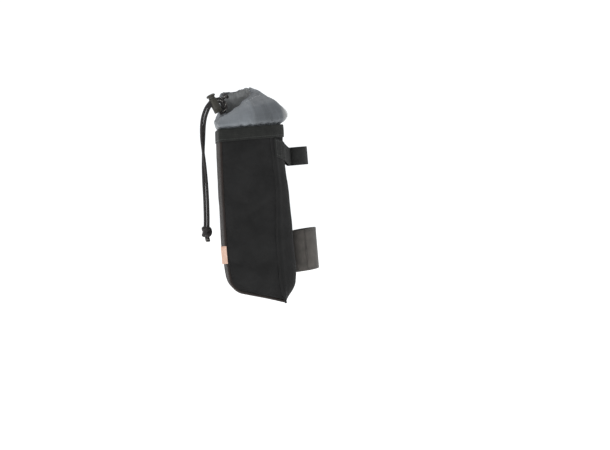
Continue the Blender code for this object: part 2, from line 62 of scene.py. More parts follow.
# Drawcord: 3.2 mm accessory cord, a core in a sixteen-carrier polyester braid with light tracer
# yarns. Both strands leave the collar side by side, pass the lock and hang to one knot.
CORD_DIAMETER = 3.2 * MM
BRAID_RADIUS = 1.78 * MM
CORD_PITCH = 3.7 * MM
CORD_BLACK = "#343131"
CORD_FLECK = "#c9c6bf"
STRAND_STARTS = ((-86.3, 0.7, 70.5), (-86.0, -0.3, 66.9))
STRAND_LENGTHS = (0.1765, 0.1705)
HANGING_ROUTE = (
    # x, y, z, turn of the pair
    (-106.6, -12.0, 57.0, 0),
    (-110.0, -13.6, 47.4, 5),
    (-111.5, -14.0, 36.8, 15),
    (-111.8, -13.8, 22.4, 40),
    (-111.3, -13.4, 8.0, 80),
    (-110.2, -13.0, -11.3, 125),
    (-109.0, -13.0, -30.5, 160),
    (-107.9, -13.0, -49.8, 180),
    (-107.3, -13.0, -69.0, 180),
    (-107.2, -13.0, -78.0, 180),
    (-107.3, -13.0, -83.2, 180),
    (-107.3, -13.0, -86.0, 180),
)
LOCK_TILT = math.radians(27.0)
LOCK_TURN = math.radians(25.0)
LOCK_TOP = Vector((-102.2, -9.5, 73.2)) * MM
SLOT_TOP = -5.5 * MM
SLOT_BOTTOM = -13.0 * MM
lock_place = Matrix.Translation(LOCK_TOP)
lock_place @= Matrix.Rotation(-LOCK_TILT, 4, "Y")
lock_place @= Matrix.Rotation(LOCK_TURN, 4, "Z")


def linear(colour):
    """The linear colour of an sRGB hex value."""
    parts = [int(colour[place : place + 2], 16) / 255.0 for place in (1, 3, 5)]
    turned = [part / 12.92 if part <= 0.04045 else ((part + 0.055) / 1.055) ** 2.4 for part in parts]
    return (*turned, 1.0)


def add_node(tree, kind, settings, inputs):
    """Adds a node. An input is given a value, or another node's output to be linked to."""
    made = tree.nodes.new(kind)
    for name, value in settings.items():
        setattr(made, name, value)
    for name, value in inputs.items():
        if isinstance(value, bpy.types.NodeSocket):
            tree.links.new(value, made.inputs[name])
        else:
            made.inputs[name].default_value = value
    return made


def new_material(name, constants):
    """A material's node tree and its shader, with the values that are the same all over it."""
    made = bpy.data.materials.new(name)
    made.use_nodes = True
    shader = made.node_tree.nodes["Principled BSDF"]
    for socket, value in constants.items():
        shader.inputs[socket].default_value = value
    return made, made.node_tree, shader


def crossings(tree, scale, turn=0.0):
    """Over-and-under threads on the thread map, which is in mm. scale is the number of threads
    in a mm along the map's two directions. Returns the height, where the warp is on top, and
    the place on the turned map."""
    threads = add_node(tree, "ShaderNodeUVMap", {"uv_map": "threads"}, {})
    wide = (math.pi * scale[0], math.pi * scale[1], 1.0)
    laid = add_node(
        tree,
        "ShaderNodeMapping",
        {},
        {"Vector": threads.outputs[0], "Scale": wide, "Rotation": (0.0, 0.0, turn)},
    )
    parts = add_node(tree, "ShaderNodeSeparateXYZ", {}, {0: laid.outputs[0]})
    warp = add_node(tree, "ShaderNodeMath", {"operation": "SINE"}, {0: parts.outputs[0]})
    weft = add_node(tree, "ShaderNodeMath", {"operation": "SINE"}, {0: parts.outputs[1]})
    both = add_node(
        tree, "ShaderNodeMath", {"operation": "MULTIPLY"}, {0: warp.outputs[0], 1: weft.outputs[0]}
    )
    over = add_node(
        tree, "ShaderNodeMapRange", {}, {"Value": both.outputs[0], "From Min": -0.12, "From Max": 0.12}
    )
    warp_up = add_node(tree, "ShaderNodeMath", {"operation": "ABSOLUTE"}, {0: warp.outputs[0]})
    weft_up = add_node(tree, "ShaderNodeMath", {"operation": "ABSOLUTE"}, {0: weft.outputs[0]})
    height = add_node(
        tree,
        "ShaderNodeMix",
        {"data_type": "FLOAT"},
        {0: over.outputs[0], 2: weft_up.outputs[0], 3: warp_up.outputs[0]},
    )
    return height.outputs[0], over.outputs[0], parts


def smooth_point(points, share):
    """A point of the smooth curve through the points, at a share of their number."""
    place = min(max(share, 0.0), 1.0) * (len(points) - 1)
    index = min(int(place), len(points) - 2)
    local = place - index
    before, start, end, after = (points[min(max(index + step, 0), len(points) - 1)] for step in (-1, 0, 1, 2))
    return (
        start
        + (end - before) * (local / 2)
        + (before * 2 - start * 5 + end * 4 - after) * (local**2 / 2)
        + (start * 3 - before - end * 3 + after) * (local**3 / 2)
    )


def to_piece(name, mesh, look):
    """An object at the origin from a finished bmesh, with its material."""
    data = bpy.data.meshes.new(name)
    mesh.to_mesh(data)
    mesh.free()
    data.shade_smooth()
    data.materials.append(look)
    piece = bpy.data.objects.new(name, data)
    scene.collection.objects.link(piece)
    return piece


def sheet_mesh(columns, rows, place, threads, wrap=(False, False), inside=None):
    """A grid with each corner where place(column, row) says, its thread map in mm, and its faces
    pointing away from the point inside, or outwards where it is closed."""
    mesh = bmesh.new()
    bmesh.ops.create_grid(mesh, x_segments=columns, y_segments=rows, size=1.0)
    layer = mesh.loops.layers.uv.new("threads")
    for vertex in mesh.verts:
        column = round((vertex.co.x + 1.0) / 2.0 * columns)
        row = round((vertex.co.y + 1.0) / 2.0 * rows)
        for loop in vertex.link_loops:
            loop[layer].uv = threads(column, row)
        vertex.co = place(column % columns if wrap[0] else column, row % rows if wrap[1] else row)
    bmesh.ops.remove_doubles(mesh, verts=mesh.verts, dist=0.005 * MM)
    if inside is None:
        bmesh.ops.recalc_face_normals(mesh, faces=mesh.faces)
    else:
        mesh.normal_update()
        facing = sum(face.normal.dot(face.calc_center_median() - inside) for face in mesh.faces)
        if facing < 0.0:
            bmesh.ops.reverse_faces(mesh, faces=mesh.faces)
    return mesh


def tube_mesh(points, radius, sides):
    """A round tube along the points with closed ends, its thread map in mm round and along it."""
    last = len(points) - 1
    ways = [(points[min(i + 1, last)] - points[max(i - 1, 0)]).normalized() for i in range(last + 1)]
    aside = ways[0].orthogonal().normalized()
    frames = []
    along = [0.0]
    for index, way in enumerate(ways):
        aside = (aside - way * aside.dot(way)).normalized()
        frames.append((aside, way.cross(aside)))
        if index:
            along.append(along[-1] + (points[index] - points[index - 1]).length / MM)
    rows = last + 4

    def place(column, row):
        index = min(max(row - 2, 0), last)
        close = {0: 0.0, 1: 0.8, rows: 0.0, rows - 1: 0.8}.get(row, 1.0)
        turn = 2.0 * math.pi * column / sides
        first, second = frames[index]
        out = {0: -0.16, 1: -0.1, rows: 0.16, rows - 1: 0.1}.get(row, 0.0) * radius
        return points[index] + ways[index] * out + (
            first * math.cos(turn)
            + second * math.sin(turn)
        ) * radius * close

    round_it = 2.0 * math.pi * radius / MM
    return sheet_mesh(
        sides, rows, place, lambda c, r: (
            round_it * c / sides, along[min(max(r - 2, 0), last)]
        ), wrap=(True, False)
    )


def strand_route(side):
    """The points of one strand: collar's edge, straight through the lock, then hanging."""
    height = (SLOT_TOP + SLOT_BOTTOM) / 2 + side * CORD_PITCH / 2
    points = [Vector(STRAND_STARTS[0 if side > 0 else 1]) * MM]
    points += [lock_place @ Vector((along * MM, 0.0, height)) for along in (8.5, 5.5, 2.5, -0.5, -3.5, -6.5)]
    out_of_lock = points[-1]
    middle = [Vector(row[:3]) * MM for row in HANGING_ROUTE]
    for index, row in enumerate(HANGING_ROUTE):
        turn = math.radians(row[3])
        before = middle[index - 1] if index else out_of_lock
        way = middle[min(index + 1, len(middle) - 1)] - before
        sideways = way.cross(Vector((0.0, 1.0, 0.0))).normalized()
        aside = sideways * math.cos(turn) + Vector((0.0, math.sin(turn), 0.0))
        points.append(middle[index] - aside * (side * CORD_PITCH / 2))
    return points


# Braided polyester: matt black yarns crossing at 45 degrees, eight each way, so the surface is a
# lattice of small diamonds. One yarn in four is a pale tracer that comes up as flecks.
CARRIERS = 8
STRAND_STEPS = 340
BEND_STEPS = 96
TRACER_EVERY = 4.0
braid, tree, shader = new_material(
    "braided_polyester", {"Roughness": 0.72, "Sheen Weight": 0.1, "Specular IOR Level": 0.3}
)
round_cord = math.pi * CORD_DIAMETER / MM
height, over, parts = crossings(tree, (CARRIERS * math.sqrt(2) / round_cord, 0.75), math.radians(45.0))
yarn = add_node(tree, "ShaderNodeMath", {"operation": "DIVIDE"}, {0: parts.outputs[0], 1: math.pi})
turns = add_node(tree, "ShaderNodeMath", {"operation": "MODULO"}, {0: yarn.outputs[0], 1: TRACER_EVERY})
fleck_yarn = add_node(tree, "ShaderNodeMath", {"operation": "COMPARE"}, {0: turns.outputs[0], 1: 0.5, 2: 0.5})
fleck = add_node(tree, "ShaderNodeMath", {"operation": "MULTIPLY"}, {0: fleck_yarn.outputs[0], 1: over})
shade = add_node(tree, "ShaderNodeMapRange", {}, {"Value": height, "To Min": 0.5, "To Max": 1.1})
tint = add_node(
    tree,
    "ShaderNodeMix",
    {"data_type": "RGBA"},
    {0: fleck.outputs[0], 6: linear(CORD_BLACK), 7: linear(CORD_FLECK)},
)
lit = add_node(
    tree,
    "ShaderNodeMix",
    {"data_type": "RGBA", "blend_type": "MULTIPLY"},
    {0: 1.0, 6: tint.outputs[2], 7: shade.outputs[0]},
)
bump = add_node(tree, "ShaderNodeBump", {}, {"Strength": 0.9, "Distance": 0.25 * MM, "Height": height})
tree.links.new(lit.outputs[2], shader.inputs["Base Color"])
tree.links.new(bump.outputs[0], shader.inputs["Normal"])

strands = []
for name, side in (("upper", 1), ("lower", -1)):
    route = strand_route(side)
    line = [smooth_point(route, step / STRAND_STEPS) for step in range(STRAND_STEPS + 1)]
    strand = to_piece("drawcord_strand_" + name, tube_mesh(line, BRAID_RADIUS, 20), braid)
    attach(strand, "bag")
    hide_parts("cord_strand_" + name)
    strands.append((strand, line))

# Where the cord turns out of the collar's channel: a short bend above the strands, and below
# them a loop of slack that is pressed against the lock's side by the gathered cloth.
BENDS = {
    "drawcord_bend_upper": (
        (-86.3, 0.7, 70.5), (-84.6, 1.3, 72.6), (-83.6, 2.6, 74.6), (-82.2, 4.2, 74.0), (-80.6, 5.2, 71.6)
    ),
    "drawcord_bend_lower": (
        (-86.0, -0.3, 66.9), (-84.3, -1.8, 64.6), (-83.7, -3.4, 61.0), (-84.3, -4.6, 57.2),
        (-86.2, -5.4, 53.6),
        (-88.6, -6.0, 51.8), (-90.0, -6.2, 54.0), (-88.5, -6.2, 57.8), (-87.4, -5.8, 61.4),
        (-88.8, -5.0, 64.8), (-90.4, -4.4, 67.6),
    ),
}
bends = []
for name, corners in BENDS.items():
    route = [Vector(corner) * MM for corner in corners]
    line = [smooth_point(route, step / BEND_STEPS) for step in range(BEND_STEPS + 1)]
    bend = to_piece(name, tube_mesh(line, BRAID_RADIUS, 20), braid)
    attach(bend, "bag")
    bends.append(bend)


# Knot: both strands tied together in one overhand stopper, drawn up hard so that its turns lie
# side by side as a lumpy egg. Below it stand the two cut and heat-sealed ends.
KNOT_CENTRE = Vector((-107.3, -13.0, -90.3)) * MM
KNOT_LENGTH = 13.0 * MM
KNOT_WIDTH = 12.6 * MM
TAIL_LENGTH = 6.0 * MM
TURN_RADIUS = 2.35 * MM
KNOT_STEPS = 240
KNOT_WAIST = 0.86
KNOT_LOBE = 0.26
knot_line = []
for step in range(KNOT_STEPS + 1):
    turn = 2.0 * math.pi * step / KNOT_STEPS
    wide = (KNOT_WIDTH / 2 - TURN_RADIUS) * (KNOT_WAIST + KNOT_LOBE * math.cos(3.0 * turn))
    tall = KNOT_LENGTH / 2 - TURN_RADIUS
    knot_line.append(
        KNOT_CENTRE
        + Vector((wide * math.cos(2.0 * turn), wide * math.sin(2.0 * turn), tall * math.sin(3.0 * turn)))
    )
knot = to_piece("drawcord_knot", tube_mesh(knot_line, TURN_RADIUS, 24), braid)
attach(knot, "bag")
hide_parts("cord_knot")

below = KNOT_CENTRE - Vector((0.0, 0.0, KNOT_LENGTH / 2 + 0.3 * MM))
tails = []
for name, side in (("upper", 1), ("lower", -1)):
    start = below + Vector((side * 0.3 * CORD_PITCH, side * 1.4 * MM, 0.0))
    end = start + Vector((0.3, 0.0, -0.85)) * TAIL_LENGTH
    inside_knot = start + Vector((0.0, 0.0, 3.0 * MM))
    line = [inside_knot.lerp(end, step / 16) for step in range(17)]
    tail = to_piece("drawcord_tail_" + name, tube_mesh(line, BRAID_RADIUS, 20), braid)
    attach(tail, "bag")
    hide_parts("cord_tail_" + name)
    tails.append(tail)

for (strand, line), length, tail, bend in zip(strands, STRAND_LENGTHS, tails, bends):
    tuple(line[0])


# Cord lock: a barrel and a sprung push button, each injection moulded in nylon. The cords cross
# both through one slot and the button's spring pinches them.
BARREL_DIAMETER = 10.6 * MM
BARREL_TOP = -4.6 * MM
BARREL_BOTTOM = -22.2 * MM
BORE = 8.2 * MM
BUTTON_DIAMETER = 11.4 * MM
BUTTON_UNDER = -1.8 * MM
PLUNGER_DIAMETER = 7.6 * MM
SLOT_WIDTH = 3.8 * MM
BUTTON_TRAVEL = 2.5 * MM
NYLON = "#2b2922"

# Moulded nylon: dark olive brown, half matt from a spark-eroded mould, so highlights are soft and
# finely broken up, and slightly polished by handling.
nylon, tree, shader = new_material("moulded_nylon", {"Roughness": 0.42, "IOR": 1.53})
place = add_node(tree, "ShaderNodeTexCoord", {}, {})
grain = add_node(
    tree,
    "ShaderNodeTexNoise",
    {},
    {"Vector": place.outputs["Object"], "Scale": 1.0 / (0.35 * MM), "Detail": 3.0},
)
cloud = add_node(
    tree,
    "ShaderNodeTexNoise",
    {},
    {"Vector": place.outputs["Object"], "Scale": 1.0 / (5.0 * MM), "Detail": 2.0},
)
tint = add_node(
    tree,
    "ShaderNodeMix",
    {"data_type": "RGBA"},
    {0: cloud.outputs[0], 6: linear(NYLON), 7: linear("#37342b")},
)
polish = add_node(tree, "ShaderNodeMapRange", {}, {"Value": cloud.outputs[0], "To Min": 0.3, "To Max": 0.55})
bump = add_node(
    tree, "ShaderNodeBump", {}, {"Strength": 0.35, "Distance": 0.05 * MM, "Height": grain.outputs[0]}
)
tree.links.new(tint.outputs[2], shader.inputs["Base Color"])
tree.links.new(polish.outputs[0], shader.inputs["Roughness"])
tree.links.new(bump.outputs[0], shader.inputs["Normal"])


def turned_mesh(profile, steps):
    """A solid spun round Z from a profile of (radius, height) in mm that ends on the axis."""
    mesh = bmesh.new()
    corners = [mesh.verts.new((radius * MM, 0.0, height * MM)) for radius, height in profile]
    edges = [mesh.edges.new(pair) for pair in zip(corners, corners[1:])]
    bmesh.ops.spin(
        mesh, geom=corners + edges, cent=(0, 0, 0), axis=(0, 0, 1), angle=2.0 * math.pi, steps=steps,
        use_merge=True
    )
    bmesh.ops.remove_doubles(mesh, verts=mesh.verts, dist=0.002 * MM)
    bmesh.ops.recalc_face_normals(mesh, faces=mesh.faces)
    return mesh


def cut_slot(piece, top, bottom):
    """Cuts the cords' slot across a piece that still stands upright at the origin."""
    mesh = bmesh.new()
    bmesh.ops.create_cube(mesh, size=1.0)
    bmesh.ops.scale(mesh, vec=(3.0 * BARREL_DIAMETER, SLOT_WIDTH, top - bottom), verts=mesh.verts)
    bmesh.ops.translate(mesh, vec=(0.0, 0.0, (top + bottom) / 2), verts=mesh.verts)
    long_edges = [
        edge
        for edge in mesh.edges
        if abs(edge.verts[0].co.x - edge.verts[1].co.x) > BARREL_DIAMETER
    ]
    bmesh.ops.bevel(
        mesh, geom=long_edges, offset=1.0 * MM, segments=4, profile=0.5, affect="EDGES", material=-1
    )
    cutter = to_piece("slot_cutter", mesh, nylon)
    hole = piece.modifiers.new("Slot", "BOOLEAN")
    hole.operation = "DIFFERENCE"
    hole.solver = "EXACT"
    hole.object = cutter
    edge = piece.modifiers.new("Soft edges", "BEVEL")
    edge.width = 0.18 * MM
    edge.segments = 2
    edge.limit_method = "ANGLE"
    edge.angle_limit = math.radians(50.0)
    graph = bpy.context.evaluated_depsgraph_get()
    cut = bpy.data.meshes.new_from_object(piece.evaluated_get(graph))
    piece.modifiers.clear()
    piece.data = cut
    bpy.data.objects.remove(cutter)
    cut.transform(lock_place)
    cut.set_sharp_from_angle(angle=math.radians(40.0))


bore = BORE / 2 / MM
wall = BARREL_DIAMETER / 2 / MM
top = BARREL_TOP / MM
foot = BARREL_BOTTOM / MM
barrel_profile = [(0.0, foot + 2.4), (bore, foot + 2.4), (bore, top - 0.3), (bore + 0.2, top)]
barrel_profile += [(wall - 0.5, top), (wall - 0.15, top - 0.15), (wall, top - 0.5), (wall, top - 1.6)]
barrel_profile += [(wall - 0.35, top - 1.8), (wall - 0.35, top - 2.4), (wall, top - 2.6)]
for ring in range(4):
    low = foot + 4.6 - ring * 1.1
    barrel_profile += [(wall, low + 0.25), (wall - 0.25, low), (wall - 0.25, low - 0.3), (wall, low - 0.5)]
barrel_profile += [(wall, foot + 0.7), (wall - 0.2, foot + 0.2), (wall - 0.7, foot), (0.0, foot)]
barrel = to_piece("lock_barrel_moulded", turned_mesh(barrel_profile, 64), nylon)
cut_slot(barrel, SLOT_TOP, SLOT_BOTTOM)
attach(barrel, "bag")
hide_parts("cord_lock_barrel")

cap = BUTTON_DIAMETER / 2 / MM
under = BUTTON_UNDER / MM
stem = PLUNGER_DIAMETER / 2 / MM
button_profile = [
    (0.0, 1.5), (cap - 2.6, 1.4), (cap - 1.4, 1.1), (cap - 0.6, 0.55), (cap - 0.15, -0.1), (cap, -0.7)
]
button_profile += [
    (cap - 0.15, under + 0.5), (cap - 0.55, under + 0.1), (cap - 1.1, under - 0.1), (stem + 0.2, under - 0.1)
]
button_profile += [
    (stem + 0.2, SLOT_TOP / MM),
    (stem, SLOT_TOP / MM - 0.3),
    (stem, SLOT_BOTTOM / MM - 1.7),
    (stem - 0.3, SLOT_BOTTOM / MM - 2.0),
    (0.0, SLOT_BOTTOM / MM - 2.0),
]
button = to_piece("lock_button_moulded", turned_mesh(button_profile, 64), nylon)
cut_slot(button, SLOT_TOP + BUTTON_TRAVEL, SLOT_BOTTOM)
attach(button, "lock_button")
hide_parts("cord_lock_button")


# Side panels: two flat pieces of coated nylon canvas, cut to the bag's profile. Their edges are
# turned in and sewn to the front strip and the back, so each seam is a narrow groove.
LEAN = math.radians(5.0)
BAG_HEIGHT = 212.0 * MM
BAG_WIDTH = 84.0 * MM
FRONT_REACH = 96.0 * MM
SEAM_REACH = 29.5 * MM
BACK_REACH = 12.5 * MM
RIM_RISE = 39.0 * MM
CORNER_RADIUS = 15.0 * MM
BOTTOM_CLIMB = 21.0 * MM
CORNER_FOLD = 3.0 * MM
PANEL_SWELL = 2.4 * MM
FABRIC = 1.5 * MM
HEM_HEIGHT = 14.0 * MM
SEAM_ALLOWANCE = (2.6, 1.5, 0.7, 0.2)
BACK_SEAM_DEPTH = 0.5
SEAM_LAP = 1.0 * MM
SETTLE_FRAMES = 20
INSIDE_BAG = Vector((-62.0, 0.0, -60.0)) * MM
lean_turn = Matrix.Rotation(-LEAN, 4, "Y")
CANVAS = "#1a1a1a"
CANVAS_WORN = "#242424"
SIDE_ROWS = (
    # down, front, seam, crown
    (0.00, 0.942, 1.00, 1.12),
    (0.10, 0.956, 0.99, 1.15),
    (0.25, 0.972, 0.95, 1.12),
    (0.40, 0.986, 0.96, 1.00),
    (0.58, 0.997, 1.08, 0.98),
    (0.70, 1.000, 1.10, 1.00),
    (0.80, 0.990, 1.11, 0.95),
    (0.86, 0.978, 1.11, 1.02),
    (0.92, 0.962, 1.08, 1.32),
    (1.00, 0.940, 0.96, 2.26),
)
# Dents and creases of a side panel: across and down it as shares, how it runs from level in
# degrees, half its length and half its width in mm, and its depth in mm
CREASES = (
    # across, down, turn, long, wide, depth
    (0.80, 0.22, 80, 34, 5, 1.6),
    (0.72, 0.30, 62, 26, 3.5, 0.5),
    (0.30, 0.55, 75, 30, 9, 0.8),
    (0.62, 0.47, 35, 13, 3.5, 0.7),
    (0.62, 0.78, 70, 24, 7, 1.0),
    (0.90, 0.62, 84, 46, 3.5, 0.7),
    (0.45, 0.16, 20, 18, 3.0, 0.35),
    (0.22, 0.88, 40, 12, 3.0, 0.5),
)


def table_value(rows, column, place):
    """A column's value on the smooth curve through the rows, at a place along the first one."""
    index = next((i for i in range(len(rows) - 1) if place <= rows[i + 1][0]), len(rows) - 2)
    start, end = rows[index], rows[index + 1]
    share = min(max((place - start[0]) / (end[0] - start[0]), 0.0), 1.0)
    before, after = rows[max(index - 1, 0)], rows[min(index + 2, len(rows) - 1)]
    leave = (end[column] - before[column]) / 2
    arrive = (after[column] - start[column]) / 2
    square, cube = share**2, share**3
    return (
        (2 * cube - 3 * square + 1) * start[column]
        + (cube - 2 * square + share) * leave
        + (3 * square - 2 * cube) * end[column]
        + (cube - square) * arrive
    )


def share_down(height):
    return min(max((RIM_RISE - height) / BAG_HEIGHT, 0.0), 1.0)


def front_reach(height):
    return -FRONT_REACH * table_value(SIDE_ROWS, 1, share_down(height))


def seam_reach(height):
    return -SEAM_REACH * table_value(SIDE_ROWS, 2, share_down(height))


def bottom_line(along):
    """Height of the bottom at a place along X: it climbs from the back seam to the front."""
    tip = RIM_RISE - BAG_HEIGHT
    slope = BOTTOM_CLIMB / (FRONT_REACH + seam_reach(tip))
    return tip + slope * (seam_reach(tip) - along)


def bottom_edge(distance, front, inset):
    """Height of the bottom at a distance behind the front line, with the round corner."""
    radius = CORNER_RADIUS - inset
    height = bottom_line(front + distance) + inset
    if distance < radius:
        height += radius - math.sqrt(radius**2 - (radius - distance) ** 2)
    return height


def crease_depth(along, height, front, width, tall):
    """How far the creases press the cloth in at a place on a side panel."""
    total = 0.0
    for across, down, turn, reach, wide, depth in CREASES:
        x = (along - front - across * width) / MM
        z = (height - (RIM_RISE - down * tall)) / MM
        turned = math.radians(turn)
        lengthways = x * math.cos(turned) + z * math.sin(turned)
        sideways = -x * math.sin(turned) + z * math.cos(turned)
        total += depth * MM * math.exp(-((lengthways / reach) ** 2) - (sideways / wide) ** 2)
    return total


def ruffle(point, size, seed):
    """Soft uneven cloth: smooth noise between -1 and 1 with lumps of this size in mm."""
    return noise.noise(point / (size * MM) + Vector((seed, 7.3 * seed, -3.1 * seed)))


def settle(piece, held, slack, pressure, furthest):
    """Lets a sewn sheet take its own folds by simulation. Its held points stay, the cloth between
    them is larger by the slack, and no point moves further than the last value."""
    rest = [vertex.co.copy() for vertex in piece.data.vertices]
    pins = piece.vertex_groups.new(name="sewn")
    pins.add(held, 1.0, "REPLACE")
    cloth = piece.modifiers.new("Cloth", "CLOTH")
    cloth.settings.quality = 6
    cloth.settings.mass = 0.15
    cloth.settings.tension_stiffness = 12.0
    cloth.settings.compression_stiffness = 12.0
    cloth.settings.shear_stiffness = 5.0
    cloth.settings.bending_stiffness = 0.3
    cloth.settings.vertex_group_mass = "sewn"
    cloth.settings.shrink_min = -slack
    cloth.settings.use_pressure = True
    cloth.settings.uniform_pressure_force = pressure
    cloth.settings.effector_weights.gravity = 0.0
    cloth.collision_settings.use_collision = False
    cloth.collision_settings.use_self_collision = False
    for moment in range(1, SETTLE_FRAMES + 1):
        scene.frame_set(moment)
    settled = piece.evaluated_get(bpy.context.evaluated_depsgraph_get()).data
    for vertex, was, now in zip(piece.data.vertices, rest, settled.vertices):
        move = now.co - was
        if move.length > furthest:
            move *= furthest / move.length
        vertex.co = was + move
    piece.modifiers.clear()
    piece.vertex_groups.clear()
    scene.frame_set(1)


def thicken(piece, thickness):
    """Gives a sheet its thickness, inwards from the face that shows."""
    shell = piece.modifiers.new("Thickness", "SOLIDIFY")
    shell.thickness = thickness
    shell.offset = -1.0
    shell.use_even_offset = False


def woven(name, dark, light, threads_in_mm, relief, constants, cloud_size=24.0):
    """A plain-weave cloth: crossing threads with painted shade where they dip, slubs of uneven yarn, and a
    cloudy worn tint.
    """
    look, tree, shader = new_material(name, constants)
    height, _, _ = crossings(tree, threads_in_mm)
    place = add_node(tree, "ShaderNodeTexCoord", {}, {})
    cloud = add_node(
        tree,
        "ShaderNodeTexNoise",
        {},
        {
            "Vector": place.outputs["Object"],
            "Scale": 1.0 / (cloud_size * MM),
            "Detail": 4.0,
            "Roughness": 0.62,
        },
    )
    slub = add_node(
        tree,
        "ShaderNodeTexNoise",
        {},
        {"Vector": place.outputs["Object"], "Scale": 1.0 / (1.4 * MM), "Detail": 2.0},
    )
    worn = add_node(
        tree, "ShaderNodeMapRange", {}, {"Value": cloud.outputs[0], "From Min": 0.3, "From Max": 0.7}
    )
    tint = add_node(
        tree, "ShaderNodeMix", {"data_type": "RGBA"}, {0: worn.outputs[0], 6: linear(dark), 7: linear(light)}
    )
    # Painted shade: the yarns are painted darker where they dip under each other
    painted_thread_shade = add_node(tree, "ShaderNodeMapRange", {}, {"Value": height, "To Min": 0.62, "To Max": 1.12})
    uneven = add_node(
        tree, "ShaderNodeMapRange", {}, {"Value": slub.outputs[0], "To Min": 0.84, "To Max": 1.16}
    )
    shade = add_node(
        tree, "ShaderNodeMath", {"operation": "MULTIPLY"}, {0: painted_thread_shade.outputs[0], 1: uneven.outputs[0]}
    )
    lit = add_node(
        tree,
        "ShaderNodeMix",
        {"data_type": "RGBA", "blend_type": "MULTIPLY"},
        {0: 1.0, 6: tint.outputs[2], 7: shade.outputs[0]},
    )
    bump = add_node(tree, "ShaderNodeBump", {}, {"Strength": 0.6, "Distance": relief * MM, "Height": height})
    soft = add_node(
        tree,
        "ShaderNodeBump",
        {},
        {"Strength": 0.35, "Distance": 0.3 * MM, "Height": slub.outputs[0], "Normal": bump.outputs[0]},
    )
    tree.links.new(lit.outputs[2], shader.inputs["Base Color"])
    tree.links.new(soft.outputs[0], shader.inputs["Normal"])
    return look


# Coated nylon canvas: 0.6 mm yarns in plain weave, matt with a faint sheen at grazing angles. It is
# faded a little in clouds where it has been rubbed.
canvas = woven(
    "coated_nylon_canvas",
    CANVAS,
    CANVAS_WORN,
    (1.6, 1.6),
    0.12,
    {"Roughness": 0.86, "Sheen Weight": 0.08, "Sheen Roughness": 0.5, "Specular IOR Level": 0.2},
)

GRID_ACROSS = 60
GRID_DOWN = 140
HALF_PANEL_MAP = 33.0
PANEL_MAP_LENGTH = 205.0
panel_inset = CORNER_FOLD + 0.3 * MM
for name, side in (("near", -1), ("far", 1)):

    def place(column, row):
        turned = min(column, GRID_ACROSS - column, GRID_DOWN - row)
        allowance = SEAM_ALLOWANCE[turned] * MM if turned < len(SEAM_ALLOWANCE) else 0.0
        if GRID_ACROSS - column < column and turned < GRID_DOWN - row:
            allowance *= BACK_SEAM_DEPTH
        kept = len(SEAM_ALLOWANCE) - 1
        across = min(max((column - kept) / (GRID_ACROSS - 2 * kept), 0.0), 1.0)
        across = 0.5 - 0.5 * math.cos(math.pi * across)
        down = min(row / (GRID_DOWN - kept), 1.0)
        corner_top = bottom_line(front_reach(RIM_RISE - 0.8 * BAG_HEIGHT)) + CORNER_RADIUS
        front = front_reach(corner_top) + panel_inset
        width = seam_reach(RIM_RISE - 0.8 * BAG_HEIGHT) - 1.2 * MM - front
        low = bottom_edge(across * width, front, panel_inset)
        height = (RIM_RISE - 0.5 * MM) * (1.0 - down) + low * down
        start = front_reach(max(height, corner_top)) + panel_inset
        end = seam_reach(height) - 1.2 * MM
        if turned == 0:
            start -= SEAM_LAP * (column == 0)
            end += SEAM_LAP * (column == GRID_ACROSS)
            height -= SEAM_LAP * (row == GRID_DOWN)
        along = start + (end - start) * across
        below = max(0.0, (RIM_RISE - HEM_HEIGHT - height) / (RIM_RISE - HEM_HEIGHT - low))
        swell = max(0.0, math.sin(math.pi * across) * math.sin(math.pi * below)) ** 0.7
        out = PANEL_SWELL * swell
        spot = Vector((along, side * 20.0 * MM, height))
        loose = min(1.0, 6.0 * across * (1.0 - across)) * min(1.0, 5.0 * below)
        out -= crease_depth(along, height, front, width, BAG_HEIGHT) * loose
        out += (0.55 * ruffle(spot, 34.0, 2.0 + side) + 0.22 * ruffle(spot, 13.0, 5.0 + side)) * MM * loose
        return Vector((along, side * (BAG_WIDTH / 2 + out - allowance), height))

    mesh = sheet_mesh(
        GRID_ACROSS, GRID_DOWN, place, lambda c, r: (
            HALF_PANEL_MAP - HALF_PANEL_MAP * math.cos(math.pi * c / GRID_ACROSS),
            r * PANEL_MAP_LENGTH / GRID_DOWN,
        ), inside=INSIDE_BAG
    )
    panel = to_piece("side_panel_canvas_" + name, mesh, canvas)
    held = [
        index
        for index, vertex in enumerate(panel.data.vertices)
        if abs(vertex.co.y) < BAG_WIDTH / 2 - 0.15 * MM or vertex.co.z > RIM_RISE - HEM_HEIGHT
    ]
    settle(panel, held, slack=0.005, pressure=0.8, furthest=2.0 * MM)
    panel.data.transform(lean_turn)
    thicken(panel, FABRIC)
    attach(panel, "bag")
    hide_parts("side_panel_" + name)


# Front strip: one strip of the same canvas in a lighter, browner shade. It runs down the front,
# round the lower corner and along the bottom, and folds back at both edges into the seams.
STRIP_CLOTH = "#27211f"
STRIP_WORN = "#322b28"
strip_cloth = woven(
    "brown_canvas",
    STRIP_CLOTH,
    STRIP_WORN,
    (1.6, 1.6),
    0.12,
    {"Roughness": 0.84, "Sheen Weight": 0.08, "Sheen Roughness": 0.5, "Specular IOR Level": 0.2},
)


